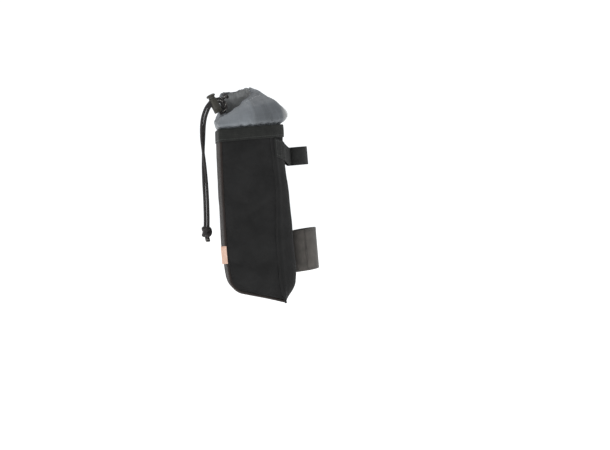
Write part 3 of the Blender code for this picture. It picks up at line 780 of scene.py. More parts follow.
def strip_path():
    """The strip's middle line, from the rim round the corner to the back seam."""
    front = front_reach(RIM_RISE - 0.8 * BAG_HEIGHT)
    corner_top = bottom_line(front) + CORNER_RADIUS
    path = []
    for step in range(101):
        height = (RIM_RISE - 0.4 * MM) + (corner_top - RIM_RISE) * step / 100
        path.append(Vector((front_reach(height), 0.0, height)))
    last = path[-1].x
    for step in range(1, 17):
        turn = math.radians(90.0 * step / 16)
        along = last + CORNER_RADIUS * (1.0 - math.cos(turn))
        path.append(Vector((along, 0.0, bottom_line(along) + CORNER_RADIUS * (1.0 - math.sin(turn)))))
    corner_end = path[-1].x
    end = seam_reach(RIM_RISE - BAG_HEIGHT) - 1.0 * MM
    for step in range(1, 41):
        along = corner_end + (end - corner_end) * step / 40
        path.append(Vector((along, 0.0, bottom_line(along))))
    return path


def front_fold(across):
    """How far the front strip folds back where it turns the corner to the side."""
    return CORNER_FOLD * (1.0 - max(0.0, 1.0 - abs(across) ** 16) ** 0.25)


path = strip_path()
STRIP_COLUMNS = 56
# the strip's columns crowd at its two edges, where it folds, and end in the allowance
shares = [math.sin(math.pi / 2 * (2.0 * column / STRIP_COLUMNS - 1.0)) for column in range(STRIP_COLUMNS + 1)]
shares = [-1.0, -1.0, *shares, 1.0, 1.0]


def place(column, row):
    last = len(shares) - 1
    across = shares[column]
    allowance = {0: 2.4, 1: 1.0, last: 2.4, last - 1: 1.0}.get(column, 0.0) * MM
    before = path[max(row - 1, 0)]
    after = path[min(row + 1, len(path) - 1)]
    way = (after - before).normalized()
    outward = Vector((way.z, 0.0, -way.x))
    free = min(1.0, 4.0 * (1.0 - abs(across)))
    spot = path[row] + Vector((0.0, across * BAG_WIDTH / 2, 0.0))
    lift = (0.5 * ruffle(spot, 30.0, 11.0) + 0.2 * ruffle(spot, 11.0, 12.0) + 0.6) * MM * free
    edge_lift = 0.25 * MM * ruffle(spot, 22.0, 13.0) * min(1.0, row / 8)
    point = spot + outward * (lift + edge_lift - front_fold(across))
    point.x = min(point.x, seam_reach(point.z) - 1.0 * MM)
    point.y -= math.copysign(allowance, across)
    return point


along = [0.0]
for start, end in zip(path, path[1:]):
    along.append(along[-1] + (end - start).length / MM)
mesh = sheet_mesh(
    len(shares) - 1, len(path) - 1, place, lambda c, r: (shares[c] * 42.0, along[r]), inside=INSIDE_BAG
)
mesh.transform(lean_turn)
strip = to_piece("front_strip_canvas", mesh, strip_cloth)
thicken(strip, FABRIC)
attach(strip, "bag")
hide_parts("front_gusset")


# Back panel: canvas over soft foam, pressed to the stem by the straps, so it has two round lobes
# with a groove between them. Its side edges roll into a raised lip along the seam.
STEM_DIAMETER = 28.6 * MM
GROOVE_RADIUS = STEM_DIAMETER / 2 + 2.7 * MM
BACK_COLUMNS = 92
BACK_ROWS = 140


def back_reach(height, across):
    """How far back the outer surface lies at this height and share of half the width."""
    rise = min(1.0, (1.0 - abs(across)) / 0.42)
    crown_at = -BACK_REACH * table_value(SIDE_ROWS, 3, share_down(height))
    seam = seam_reach(height)
    crown = seam + (crown_at - seam) * math.sin(rise * math.pi / 2)
    from_axis = abs(across) * BAG_WIDTH / 2
    if from_axis >= GROOVE_RADIUS:
        return crown
    return min(crown, -math.sqrt(GROOVE_RADIUS**2 - from_axis**2))


back_shares = [
    math.sin(math.pi / 2 * (2.0 * column / BACK_COLUMNS - 1.0))
    for column in range(BACK_COLUMNS + 1)
]


def place(column, row):
    turned = min(column, BACK_COLUMNS - column)
    allowance = (1.5, 0.6, 0.0)[min(turned, 2)] * MM
    across = back_shares[min(max(column, 2), BACK_COLUMNS - 2)]
    height = (RIM_RISE - 0.5 * MM) + (-BAG_HEIGHT + 0.5 * MM) * row / BACK_ROWS
    reach = back_reach(height, across)
    spot = Vector((reach, across * BAG_WIDTH / 2, height))
    free = min(1.0, 5.0 * (1.0 - abs(across))) * min(
        1.0, max(0.0, abs(across) * BAG_WIDTH / 2 - GROOVE_RADIUS * 0.8) / (4.0 * MM)
    )
    lift = (0.5 * ruffle(spot, 26.0, 21.0) + 0.25 * ruffle(spot, 10.0, 22.0)) * MM * free
    lip = 0.9 * MM * math.exp(-(((1.0 - abs(across)) * BAG_WIDTH / 2 / MM - 2.2) / 1.6) ** 2)
    spot.x += lift + 0.4 * lip
    spot.y += math.copysign(0.7 * lip - allowance, across)
    spot.x -= 0.6 * allowance
    return spot


mesh = sheet_mesh(
    BACK_COLUMNS, BACK_ROWS, place, lambda c, r: (
        back_shares[c] * 56.0, r * BAG_HEIGHT / MM / BACK_ROWS
    ), inside=INSIDE_BAG
)
mesh.transform(lean_turn)
back = to_piece("back_panel_canvas", mesh, canvas)
thicken(back, FABRIC)
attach(back, "bag")
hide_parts("back_panel")


# Hem: 25 mm twill tape folded over the rim of the pouch and sewn through all layers near its
# lower edge. It is thick and lumpy where it turns the two back corners.
HEM_TAPE = "#1f201f"
HEM_WORN = "#2c2d2b"
HEM_PROFILE = (
    # outward, rise from the rim, in mm
    (0.3, -13.6), (0.5, -14.1), (1.0, -14.2), (1.35, -13.9), (1.45, -13.3), (1.42, -12.4), (1.25, -11.8),
    (1.42, -11.2), (1.5, -9.0), (1.5, -6.0), (1.48, -3.0), (1.45, -1.2), (1.4, -0.2), (1.2, 0.6),
    (0.75, 1.05),
    (0.1, 1.15), (-0.7, 1.15), (-1.2, 1.0), (-1.45, 0.6), (-1.3, 0.2), (-0.8, 0.1), (-0.1, 0.0),
    (0.25, -0.5), (0.3, -6.0),
)


def rim_ring(height, outward):
    """The pouch's outline at this height, seen from above and moved outward, as a closed ring."""
    half = BAG_WIDTH / 2
    front = front_reach(height)
    seam = seam_reach(height)
    steps = [math.sin(math.pi / 2 * (step / 20 - 1.0)) for step in range(41)]
    ring = [Vector((front + front_fold(share), share * half)) for share in steps]
    ring += [
        Vector((front + CORNER_FOLD + (seam - front - CORNER_FOLD) * step / 30, half))
        for step in range(1, 30)
    ]
    back_steps = [math.sin(math.pi / 2 * (step / 45 - 1.0)) for step in range(91)]
    ring += [Vector((back_reach(height, -share), -share * half)) for share in back_steps]
    ring += [Vector((seam + (front + CORNER_FOLD - seam) * step / 30, -half)) for step in range(1, 30)]
    moved = []
    for index, point in enumerate(ring):
        way = ring[(index + 2) % len(ring)] - ring[index - 2]
        normal = Vector((-way.y, way.x)).normalized()
        moved.append(point + normal * outward)
    return moved


def hem_lump(point):
    """The tape's extra layers where it is folded round the back corners."""
    near_corner = math.exp(-(((point.x + 20.0 * MM) / (9.0 * MM)) ** 2))
    return near_corner * (0.5 + 0.5 * ruffle(point, 7.0, 31.0)) * 0.9 * MM


profile_rings = [rim_ring(RIM_RISE + rise * MM, outward * MM) for outward, rise in HEM_PROFILE]
ring_length = len(profile_rings[0])


def place(column, row):
    outward, rise = HEM_PROFILE[row]
    flat = profile_rings[row][column]
    point = Vector((flat.x, flat.y, RIM_RISE + rise * MM))
    away_from_middle = Vector((point.x + 58.0 * MM, point.y, 0.0)).normalized()
    push = hem_lump(point) if outward > 0.9 else 0.0
    push += 0.2 * MM * ruffle(point, 16.0, 32.0) if outward > 0.9 else 0.0
    point += away_from_middle * push
    point.z += 0.25 * MM * ruffle(Vector((point.x, point.y, 0.0)), 18.0, 33.0)
    return point


ring_along = [0.0]
for index, point in enumerate(profile_rings[0]):
    ring_along.append(ring_along[-1] + (profile_rings[0][(index + 1) % ring_length] - point).length / MM)
mesh = sheet_mesh(
    ring_length, len(HEM_PROFILE), place, lambda c, r: (ring_along[c], 1.3 * r), wrap=(True, True)
)
mesh.transform(lean_turn)

# Cotton-faced twill tape: 0.5 mm yarns that step over each other, which draws fine slanting ribs.
# It is matt, darker than the canvas, and greyer in small clouds.
twill = woven(
    "twill_tape",
    HEM_TAPE,
    HEM_WORN,
    (2.2, 1.1),
    0.18,
    {"Roughness": 0.85, "Sheen Weight": 0.08, "Specular IOR Level": 0.2},
    cloud_size=9.0,
)
hem = to_piece("hem_tape_folded", mesh, twill)
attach(hem, "bag")
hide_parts("hem_band")


# Stitching: bonded polyester thread, lockstitched. Each stitch is a short bead of twisted thread
# that dips into the cloth at both ends.
STITCH_PITCH = 3.0
STITCH_LENGTH = 2.5
THREAD_RADIUS = 0.28
thread, tree, shader = new_material("polyester_thread", {"Roughness": 0.55, "Sheen Weight": 0.3})
place_in = add_node(tree, "ShaderNodeTexCoord", {}, {})
twist = add_node(
    tree,
    "ShaderNodeTexWave",
    {"bands_direction": "DIAGONAL"},
    {"Vector": place_in.outputs["Object"], "Scale": 1.0 / (1.4 * MM), "Distortion": 0.6},
)
tint = add_node(
    tree,
    "ShaderNodeMix",
    {"data_type": "RGBA"},
    {0: twist.outputs[1], 6: linear("#222322"), 7: linear("#3d3f3d")},
)
bump = add_node(
    tree, "ShaderNodeBump", {}, {"Strength": 0.5, "Distance": 0.08 * MM, "Height": twist.outputs[1]}
)
tree.links.new(tint.outputs[2], shader.inputs["Base Color"])
tree.links.new(bump.outputs[0], shader.inputs["Normal"])


def sew(name, lines, look=thread):
    """One piece of stitches along lines of (point, outward) pairs, in the bag's frame."""
    mesh = bmesh.new()
    for line in lines:
        travelled = 0.0
        due = STITCH_PITCH * MM / 2
        for (start, out), (end, _) in zip(line, line[1:]):
            way = end - start
            reach = way.length
            while reach > 0.0 and due <= travelled + reach:
                spot = start + way * ((due - travelled) / reach)
                forward = way.normalized()
                outward = (out - forward * out.dot(forward)).normalized()
                turn = Matrix((forward, outward.cross(forward), outward)).transposed().to_4x4()
                size = Matrix.Diagonal(
                    (STITCH_LENGTH / 2 * MM, THREAD_RADIUS * MM, THREAD_RADIUS * 0.8 * MM, 1.0)
                )
                bmesh.ops.create_uvsphere(
                    mesh, u_segments=6, v_segments=5, radius=1.0,
                    matrix=Matrix.Translation(spot) @ turn @ size @ Matrix.Rotation(
                        math.pi / 2, 4, "Y"
                    )
                )
                due += STITCH_PITCH * MM
            travelled += reach
    mesh.transform(lean_turn)
    piece = to_piece(name, mesh, look)
    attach(piece, "bag")
    return piece


stitch_row = HEM_PROFILE.index((1.25, -11.8))
hem_line = []
for column in range(ring_length + 1):
    here = place(column % ring_length, stitch_row)
    flat = profile_rings[stitch_row][column % ring_length]
    inner = profile_rings[0][column % ring_length]
    hem_line.append((here, Vector((flat.x - inner.x, flat.y - inner.y, 0.0)).normalized()))
sew("hem_stitching", [hem_line])


# Collar: thin grey ripstop nylon, sewn inside the rim and gathered at the top by the drawcord.
# Its top edge is folded over into a channel for the cord; the near side is pulled down in front.
COLLAR_HEIGHT = 49.0 * MM
COLLAR_THICKNESS = 0.5 * MM
COLLAR_TUCK = 10.0 * MM
MOUTH_LENGTH = 34.0 * MM
MOUTH_WIDTH = 23.0 * MM
MOUTH_REACH = 63.0 * MM
COLLAR_COLUMNS = 264
COLLAR_ROWS = 72
CHANNEL = 0.86
COLLAR_MAP = (240.0, 70.0)
# Painted highlight: from here back, the collar is painted paler for light shining through the thin cloth
PAINTED_BACKLIGHT_FROM = -14.0 * MM
# Direction of a narrow painted highlight on one pleat of the collar
PAINTED_HIGHLIGHT_PLEAT_FACING = 264.0
# Directions between which the near side of the collar is painted darker, as painted shade
PAINTED_SHADE_FROM = 276.0
PAINTED_SHADE_TO = 352.0
FOLD_FACING = 340.0
FOLD_FROM = 0.42
FOLD_STITCHES = 22
RIPSTOP_DARK = "#686c70"
RIPSTOP_LIGHT = "#80858a"
COLLAR_GORES = (
    # angle, swell, swell_rise, shoulder_in, shoulder_rise, mouth_rise
    (0, 0.250, 0.27, 0.30, 0.58, 0.98),
    (45, 0.070, 0.24, 0.34, 0.55, 0.98),
    (90, 0.080, 0.20, 0.45, 0.52, 0.95),
    (135, 0.035, 0.22, 0.40, 0.46, 0.95),
    (172, 0.045, 0.22, 0.50, 0.38, 0.87),
    (205, 0.045, 0.19, 0.42, 0.31, 0.41),
    (235, 0.035, 0.15, 0.32, 0.34, 0.41),
    (270, 0.045, 0.15, 0.28, 0.50, 0.60),
    (292, 0.050, 0.17, 0.28, 0.56, 0.64),
    (315, 0.055, 0.18, 0.28, 0.62, 0.82),
    (360, 0.250, 0.27, 0.30, 0.58, 0.98),
)
# Folds by direction: how deep the gathers are at the mouth and at the rim, in mm
COLLAR_FOLDS = (
    # angle, at_mouth, at_rim
    (0, 2.0, 0.8),
    (60, 1.8, 0.8),
    (150, 1.4, 0.6),
    (200, 0.5, 0.3),
    (250, 0.4, 0.6),
    (290, 0.8, 1.0),
    (330, 1.6, 1.2),
    (360, 2.0, 0.8),
)
# Pressed pleats of the near side: by direction, how wide in degrees, how deep in mm, and how far
# up from the rim or down from the mouth each one runs, as a share
COLLAR_PLEATS = (
    # angle, wide, depth, middle, long
    (256, 3.0, 2.4, 0.05, 0.22),
    (271, 2.5, 2.8, 0.05, 0.30),
    (277, 4.0, 1.5, 0.40, 0.40),
    (298, 3.0, 2.2, 0.06, 0.20),
    (308, 2.6, 2.0, 0.06, 0.26),
    (318, 3.0, 2.2, 0.08, 0.24),
    (331, 4.0, 2.4, 0.10, 0.28),
    (336, 2.2, 1.3, 0.66, 0.26),
    (344, 2.2, 1.1, 0.62, 0.24),
)
collar_centre = Vector((-(FRONT_REACH + BACK_REACH) / 2, 0.0))
tuck_ring = rim_ring(RIM_RISE - COLLAR_TUCK, -2.1 * MM)
neck_ring = rim_ring(RIM_RISE, -2.1 * MM)


def ring_point(ring, centre, angle):
    """Where a ray from the centre at this angle meets the ring."""
    ray = Vector((math.cos(angle), math.sin(angle)))
    best = 0.0
    for index, start in enumerate(ring):
        edge = ring[(index + 1) % len(ring)] - start
        cross = ray.x * edge.y - ray.y * edge.x
        if abs(cross) < 1e-12:
            continue
        offset = start - centre
        distance = (offset.x * edge.y - offset.y * edge.x) / cross
        share = (offset.x * ray.y - offset.y * ray.x) / cross
        if distance > 0.0 and -1e-6 <= share <= 1.0 + 1e-6:
            best = max(best, distance)
    return centre + ray * best


angles = [2.0 * math.pi * column / COLLAR_COLUMNS for column in range(COLLAR_COLUMNS)]
tucks = [ring_point(tuck_ring, collar_centre, angle) for angle in angles]
necks = [ring_point(neck_ring, collar_centre, angle) for angle in angles]
gores = [
    [table_value(COLLAR_GORES, column, math.degrees(angle)) for column in range(1, 6)]
    for angle in angles
]
folds = [
    [table_value(COLLAR_FOLDS, column, math.degrees(angle)) for column in range(1, 3)]
    for angle in angles
]


def collar_point(column, share):
    """A point of the collar's outer face: share is 0 at the rim and 1 at the mouth's edge."""
    angle = angles[column]
    outward = Vector((math.cos(angle), math.sin(angle), 0.0))
    base = necks[column].to_3d()
    base.z = RIM_RISE + 1.7 * MM
    swell, swell_rise, shoulder_in, shoulder_rise, mouth_rise = gores[column]
    bulge = base + outward * (swell * COLLAR_HEIGHT + 2.1 * MM)
    bulge.z = RIM_RISE + swell_rise * COLLAR_HEIGHT
    mouth = Vector((-MOUTH_REACH + MOUTH_LENGTH / 2 * outward.x, MOUTH_WIDTH / 2 * outward.y, 0.0))
    mouth.z = RIM_RISE + mouth_rise * COLLAR_HEIGHT
    shoulder = bulge.lerp(mouth, shoulder_in)
    shoulder.z = RIM_RISE + shoulder_rise * COLLAR_HEIGHT
    point = smooth_point([base, bulge, shoulder, mouth], share)
    at_mouth, at_rim = folds[column]
    gathers = math.cos(11 * angle) + 0.6 * math.cos(17 * angle + 1.3) + 0.4 * math.cos(29 * angle + 0.4)
    rim_gathers = math.cos(23 * angle + 0.8) + 0.7 * math.cos(37 * angle)
    low = math.exp(-((share / 0.22) ** 2)) * min(1.0, share / 0.04)
    point += outward * MM * (at_mouth * share**1.5 * gathers * 0.7 + at_rim * low * rim_gathers * 0.5)
    spot = Vector((point.x, point.y, point.z))
    point += outward * MM * min(1.0, 6.0 * share) * (
        0.9 * ruffle(spot, 22.0, 41.0)
        + 0.35 * ruffle(spot, 8.0, 42.0)
    )
    turned = math.degrees(angle)
    for facing, wide, depth, middle, long in COLLAR_PLEATS:
        press = math.exp(-(((turned - facing) / wide) ** 2) - ((share - middle) / long) ** 2)
        point -= outward * MM * depth * press * min(1.0, share / 0.03)
    if share > CHANNEL:
        local = (share - CHANNEL) / (1.0 - CHANNEL)
        point += outward * MM * 1.3 * math.sin(math.pi * min(1.0, local * 1.05)) ** 0.6
    return point


def place(column, row):
    if row < 3:
        low = tucks[column].lerp(necks[column], row / 3)
        return Vector((low.x, low.y, RIM_RISE - COLLAR_TUCK * (1.0 - row / 3)))
    return collar_point(column, (row - 3) / (COLLAR_ROWS - 3))


mesh = sheet_mesh(
    COLLAR_COLUMNS,
    COLLAR_ROWS,
    place,
    lambda c, r: (c * COLLAR_MAP[0] / COLLAR_COLUMNS, r * COLLAR_MAP[1] / COLLAR_ROWS),
    wrap=(True, False),
    inside=Vector((-58.0, 0.0, 50.0)) * MM,
)

# Ripstop nylon: fine calendered yarns with a thicker pair every 5 mm, so a faint grid shows, and
# a low silky gloss that follows the folds. The low back of the collar is painted paler, a painted
# highlight for light through the thin cloth. The right of the near side is painted darker, as
# painted shade, with a narrow painted highlight on one pleat.
ripstop, tree, shader = new_material(
    "ripstop_nylon", {"Roughness": 0.5, "Sheen Weight": 0.06, "Specular IOR Level": 0.35}
)
height, _, _ = crossings(tree, (2.2, 2.2))
threads = add_node(tree, "ShaderNodeUVMap", {"uv_map": "threads"}, {})
cells = add_node(
    tree, "ShaderNodeVectorMath", {"operation": "MODULO"}, {0: threads.outputs[0], 1: (5.0, 5.0, 5.0)}
)
cell = add_node(tree, "ShaderNodeSeparateXYZ", {}, {0: cells.outputs[0]})
nearest = add_node(tree, "ShaderNodeMath", {"operation": "MINIMUM"}, {0: cell.outputs[0], 1: cell.outputs[1]})
rib = add_node(
    tree,
    "ShaderNodeMapRange",
    {"interpolation_type": "SMOOTHSTEP"},
    {"Value": nearest.outputs[0], "From Min": 0.7, "From Max": 0.2},
)
place_in = add_node(tree, "ShaderNodeTexCoord", {}, {})
cloud = add_node(
    tree,
    "ShaderNodeTexNoise",
    {},
    {"Vector": place_in.outputs["Object"], "Scale": 1.0 / (18.0 * MM), "Detail": 3.0},
)
tint = add_node(
    tree,
    "ShaderNodeMix",
    {"data_type": "RGBA"},
    {0: cloud.outputs[0], 6: linear(RIPSTOP_DARK), 7: linear(RIPSTOP_LIGHT)},
)
# Painted highlight: the pale attribute turns the low back of the collar towards near white
pale = add_node(tree, "ShaderNodeAttribute", {"attribute_name": "pale"}, {})
painted_backlight_mix = add_node(
    tree,
    "ShaderNodeMix",
    {"data_type": "RGBA"},
    {0: pale.outputs["Fac"], 6: tint.outputs[2], 7: linear("#d8d9d7")},
)
# Painted shade: the yarns are painted darker where they dip under each other
painted_thread_shade = add_node(tree, "ShaderNodeMapRange", {}, {"Value": height, "To Min": 0.86, "To Max": 1.04})
shade = add_node(
    tree, "ShaderNodeMath", {"operation": "MULTIPLY_ADD"}, {0: rib.outputs[0], 1: 0.08, 2: painted_thread_shade.outputs[0]}
)
# Painted shade: this attribute darkens the right of the near side of the collar
layers = add_node(tree, "ShaderNodeAttribute", {"attribute_name": "painted_shade"}, {})
dim = add_node(
    tree,
    "ShaderNodeMath",
    {"operation": "MULTIPLY_ADD"},
    {0: layers.outputs["Fac"], 1: -0.42, 2: shade.outputs[0]},
)
lit = add_node(
    tree,
    "ShaderNodeMix",
    {"data_type": "RGBA", "blend_type": "MULTIPLY"},
    {0: 1.0, 6: painted_backlight_mix.outputs[2], 7: dim.outputs[0]},
)
raised = add_node(
    tree, "ShaderNodeMath", {"operation": "MULTIPLY_ADD"}, {0: height, 1: 0.4, 2: rib.outputs[0]}
)
bump = add_node(
    tree, "ShaderNodeBump", {}, {"Strength": 0.35, "Distance": 0.08 * MM, "Height": raised.outputs[0]}
)
tree.links.new(lit.outputs[2], shader.inputs["Base Color"])
tree.links.new(bump.outputs[0], shader.inputs["Normal"])

collar = to_piece("collar_ripstop", mesh, ripstop)
rim_level = RIM_RISE + 2.0 * MM
held = [index for index, vertex in enumerate(collar.data.vertices) if vertex.co.z < rim_level]
settle(collar, held, slack=0.02, pressure=0.4, furthest=2.5 * MM)
painted_backlight = collar.data.attributes.new("pale", "FLOAT", "POINT")
painted_shade = collar.data.attributes.new("painted_shade", "FLOAT", "POINT")
for index, vertex in enumerate(collar.data.vertices):
    turned = math.degrees(math.atan2(vertex.co.y, vertex.co.x - collar_centre.x)) % 360.0
    # A narrow painted highlight on one pleat, which makes that band lighter
    painted_pleat_highlight = math.exp(-(((turned - PAINTED_HIGHLIGHT_PLEAT_FACING) / 5.0) ** 2)) * math.exp(
        -(((vertex.co.z - 50.0 * MM) / (9.0 * MM)) ** 2)
    )
    # Painted shade on the right of the near side, a little uneven
    ends = min(
        1.0, max(0.0, (turned - PAINTED_SHADE_FROM) / 5.0)
    ) * min(1.0, max(0.0, (PAINTED_SHADE_TO - turned) / 12.0))
    painted_shade.data[index].value = ends * (0.8 + 0.2 * ruffle(vertex.co, 9.0, 43.0)) - 0.25 * painted_pleat_highlight
    # Painted highlight on the low back of the collar, for light through the thin cloth
    behind = max(0.0, min(1.0, (vertex.co.x - PAINTED_BACKLIGHT_FROM) / (8.0 * MM)))
    painted_backlight.data[index].value = behind * max(0.0, 1.0 - ((vertex.co.z - 54.0 * MM) / (16.0 * MM)) ** 2)
collar.data.transform(lean_turn)
thicken(collar, COLLAR_THICKNESS)

# Collar stitching in pale thread: the channel's line all round, and one down the fold on the
# right of the near side.
pale_thread, tree, shader = new_material("pale_nylon_thread", {"Roughness": 0.5, "Sheen Weight": 0.1})
place_in = add_node(tree, "ShaderNodeTexCoord", {}, {})
twist = add_node(
    tree,
    "ShaderNodeTexWave",
    {"bands_direction": "DIAGONAL"},
    {"Vector": place_in.outputs["Object"], "Scale": 1.0 / (1.4 * MM), "Distortion": 0.6},
)
tint = add_node(
    tree,
    "ShaderNodeMix",
    {"data_type": "RGBA"},
    {0: twist.outputs[1], 6: linear("#9a9d9e"), 7: linear("#c4c6c6")},
)
tree.links.new(tint.outputs[2], shader.inputs["Base Color"])
unlean = lean_turn.inverted()
cloth = kdtree.KDTree(len(collar.data.vertices))
for vertex in collar.data.vertices:
    cloth.insert(unlean @ vertex.co, vertex.index)
cloth.balance()


def on_cloth(column, share):
    """The spot on the settled cloth, and its outward direction, at a column and share up it."""
    angle = angles[column % COLLAR_COLUMNS]
    outward = Vector((math.cos(angle), math.sin(angle), 0.6)).normalized()
    spot, _, _ = cloth.find(collar_point(column % COLLAR_COLUMNS, share))
    return spot + outward * 0.12 * MM, outward


channel_line = [on_cloth(column, CHANNEL - 0.01) for column in range(COLLAR_COLUMNS + 1)]
fold_column = round(COLLAR_COLUMNS * FOLD_FACING / 360.0)
fold_line = [on_cloth(fold_column, FOLD_FROM + 0.02 * step) for step in range(FOLD_STITCHES)]
sew("collar_channel_stitching", [channel_line, fold_line], pale_thread)

# Inner face of the nylon: a milky waterproof coating, much paler than the dyed yarns. It is painted
# paler still, a painted highlight for light through the thin cloth, so the inside of the mouth is as light as
# the outside.
coating_painted_light, tree, shader = new_material("milky_coating_painted_light", {"Roughness": 0.6, "Specular IOR Level": 0.3})
height, _, _ = crossings(tree, (2.2, 2.2))
place_in = add_node(tree, "ShaderNodeTexCoord", {}, {})
cloud = add_node(
    tree,
    "ShaderNodeTexNoise",
    {},
    {"Vector": place_in.outputs["Object"], "Scale": 1.0 / (9.0 * MM), "Detail": 3.0},
)
tint = add_node(
    tree,
    "ShaderNodeMix",
    {"data_type": "RGBA"},
    {0: cloud.outputs[0], 6: linear("#cdcfd0"), 7: linear("#e4e6e6")},
)
bump = add_node(tree, "ShaderNodeBump", {}, {"Strength": 0.25, "Distance": 0.06 * MM, "Height": height})
tree.links.new(tint.outputs[2], shader.inputs["Base Color"])
tree.links.new(bump.outputs[0], shader.inputs["Normal"])
collar.data.materials.append(coating_painted_light)
collar.modifiers["Thickness"].material_offset = 1
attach(collar, "bag")
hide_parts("collar")


# Upper strap: 22 mm polyester webbing, sewn under the hem on both sides, that runs over the back
# lobes and round the stem.
STRAP_WIDTH = 22.0
STRAP_DROP = 13.0 * MM
WEBBING = 1.6 * MM


def webbing_mesh(line, width, thickness, closed):
    """Flat strap along a line of (point, outward) pairs: a soft-cornered section swept along it."""
    half = width / 2 * MM
    section = [
        (0.0, -half + 0.5 * MM), (0.0, -half * 0.5), (0.0, 0.0), (0.0, half * 0.5), (0.0, half - 0.5 * MM)
    ]
    section += [(thickness * 0.25, half), (thickness * 0.75, half)]
    section += [
        (thickness, half - 0.5 * MM),
        (thickness, half * 0.5),
        (thickness, 0.0),
        (thickness, -half * 0.5),
        (thickness, -half + 0.5 * MM),
    ]
    section += [(thickness * 0.75, -half), (thickness * 0.25, -half)]
    count = len(line)
    travelled = [0.0]
    for (start, _), (end, _) in zip(line, line[1:]):
        travelled.append(travelled[-1] + (end - start).length / MM)
    travelled.append(travelled[-1] + (line[0][0] - line[-1][0]).length / MM)
    round_it = [0.0, 0.25, 0.5, 0.75, 1.0, 1.05, 1.1, 1.15, 1.4, 1.65, 1.9, 2.15, 2.2, 2.25, 2.3]

    def corner(column, row):
        point, outward = line[min(max(column - (0 if closed else 1), 0), count - 1)]
        out, up = section[row]
        if not closed and column in (0, count + 1):
            out, up = thickness * 0.3, up * 0.98
        elif not closed and column in (1, count):
            out = min(out, thickness * 0.7)
        return point + outward * out + Vector((0.0, 0.0, up))

    columns = count if closed else count + 1
    return sheet_mesh(
        columns,
        len(section),
        corner,
        lambda c, r: (
            travelled[min(max(c - (0 if closed else 1), 0), len(travelled) - 1)], round_it[r] * width
        ),
        wrap=(closed, True),
    )


def with_outward(flat, heights):
    """Pairs of point and outward direction for a line seen from above."""
    pairs = []
    for index, point in enumerate(flat):
        way = flat[min(index + 1, len(flat) - 1)] - flat[max(index - 1, 0)]
        pairs.append((Vector((point.x, point.y, heights[index])), Vector((way.y, -way.x, 0.0)).normalized()))
    return pairs


strap_start = RIM_RISE - HEM_HEIGHT - 0.3 * MM - STRAP_WIDTH / 2 * MM
stem_ring = STEM_DIAMETER / 2 + 0.3 * MM
corners = []
for across in (0.965, 0.88, 0.79, 0.70, 0.60):
    ahead = Vector((back_reach(strap_start, across - 0.01), (across - 0.01) * BAG_WIDTH / 2))
    here = Vector((back_reach(strap_start, across), across * BAG_WIDTH / 2))
    way = (ahead - here).normalized()
    corners.append(here + Vector((-way.y, way.x)) * 0.6 * MM)
for degrees in (118, 100, 80, 60, 40, 20):
    turn = math.radians(degrees)
    corners.append(Vector((stem_ring * math.cos(turn), stem_ring * math.sin(turn))))
corners += [Vector((stem_ring, 0.0))] + [Vector((point.x, -point.y)) for point in reversed(corners)]
flat = [smooth_point(corners, step / 160) for step in range(161)]
half_width = BAG_WIDTH / 2
drops = [min(1.0, max(0.0, (half_width - abs(point.y)) / (half_width - stem_ring))) for point in flat]
heights = [strap_start - STRAP_DROP * drop for drop in drops]
upper_line = with_outward(flat, heights)
middle_point, middle_out = upper_line[len(upper_line) // 2]
if middle_out.x < 0.0:
    upper_line = [(point, -out) for point, out in upper_line]

# Polyester webbing: heavy yarns in a tight ribbed weave, ribs across the strap every 1.2 mm, with
# a dull sheen. The grooves between the ribs are painted darker than the raised ribs, as painted shade.
webbing = woven(
    "polyester_webbing",
    "#1b1c1b",
    "#262726",
    (0.85, 1.9),
    0.3,
    {"Roughness": 0.78, "Sheen Weight": 0.08, "Specular IOR Level": 0.25},
    cloud_size=8.0,
)
mesh = webbing_mesh(upper_line, STRAP_WIDTH, WEBBING, False)
mesh.transform(lean_turn)
upper = to_piece("upper_strap_webbing", mesh, webbing)
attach(upper, "bag")
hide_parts("upper_strap")

rows = []
for start, end in ((2, 12), (148, 158)):
    for rise in (-8.5, 8.5):
        rows.append(
            [
                (point + out * (WEBBING + 0.1 * MM) + Vector((0.0, 0.0, rise * MM)), out)
                for point, out in upper_line[start:end]
            ]
        )
    for index in (start, end - 1):
        point, out = upper_line[index]
        rows.append(
            [
                (point + out * (WEBBING + 0.1 * MM) + Vector((0.0, 0.0, rise * MM)), out)
                for rise in (-8.5, 0.0, 8.5)
            ]
        )
sew("upper_strap_stitching", rows)


# Lower strap: 50 mm hook-and-loop tape, sewn to the back of the bag and closed on itself round
# the stem, with its free end folded back over the near side.
LOWER_WIDTH = 50.0
LOWER_DROP = 113.5 * MM
LOWER_SLOPE = math.tan(math.radians(5.0))
LAYER = 2.1 * MM
LOOP_PILE = "#4a4744"
LOOP_WORN = "#595551"


def strap_line(radius, start, end, steps, closed, wave):
    line = []
    for step in range(steps):
        turn = math.radians(start + (end - start) * step / (steps if closed else steps - 1))
        out = Vector((math.cos(turn), math.sin(turn), 0.0))
        reach = radius + wave * ruffle(out * 20.0 * MM, 9.0, 51.0)
        along = reach * math.cos(turn)
        line.append((Vector((along, reach * math.sin(turn), along * LOWER_SLOPE - LOWER_DROP)), out))
    return line


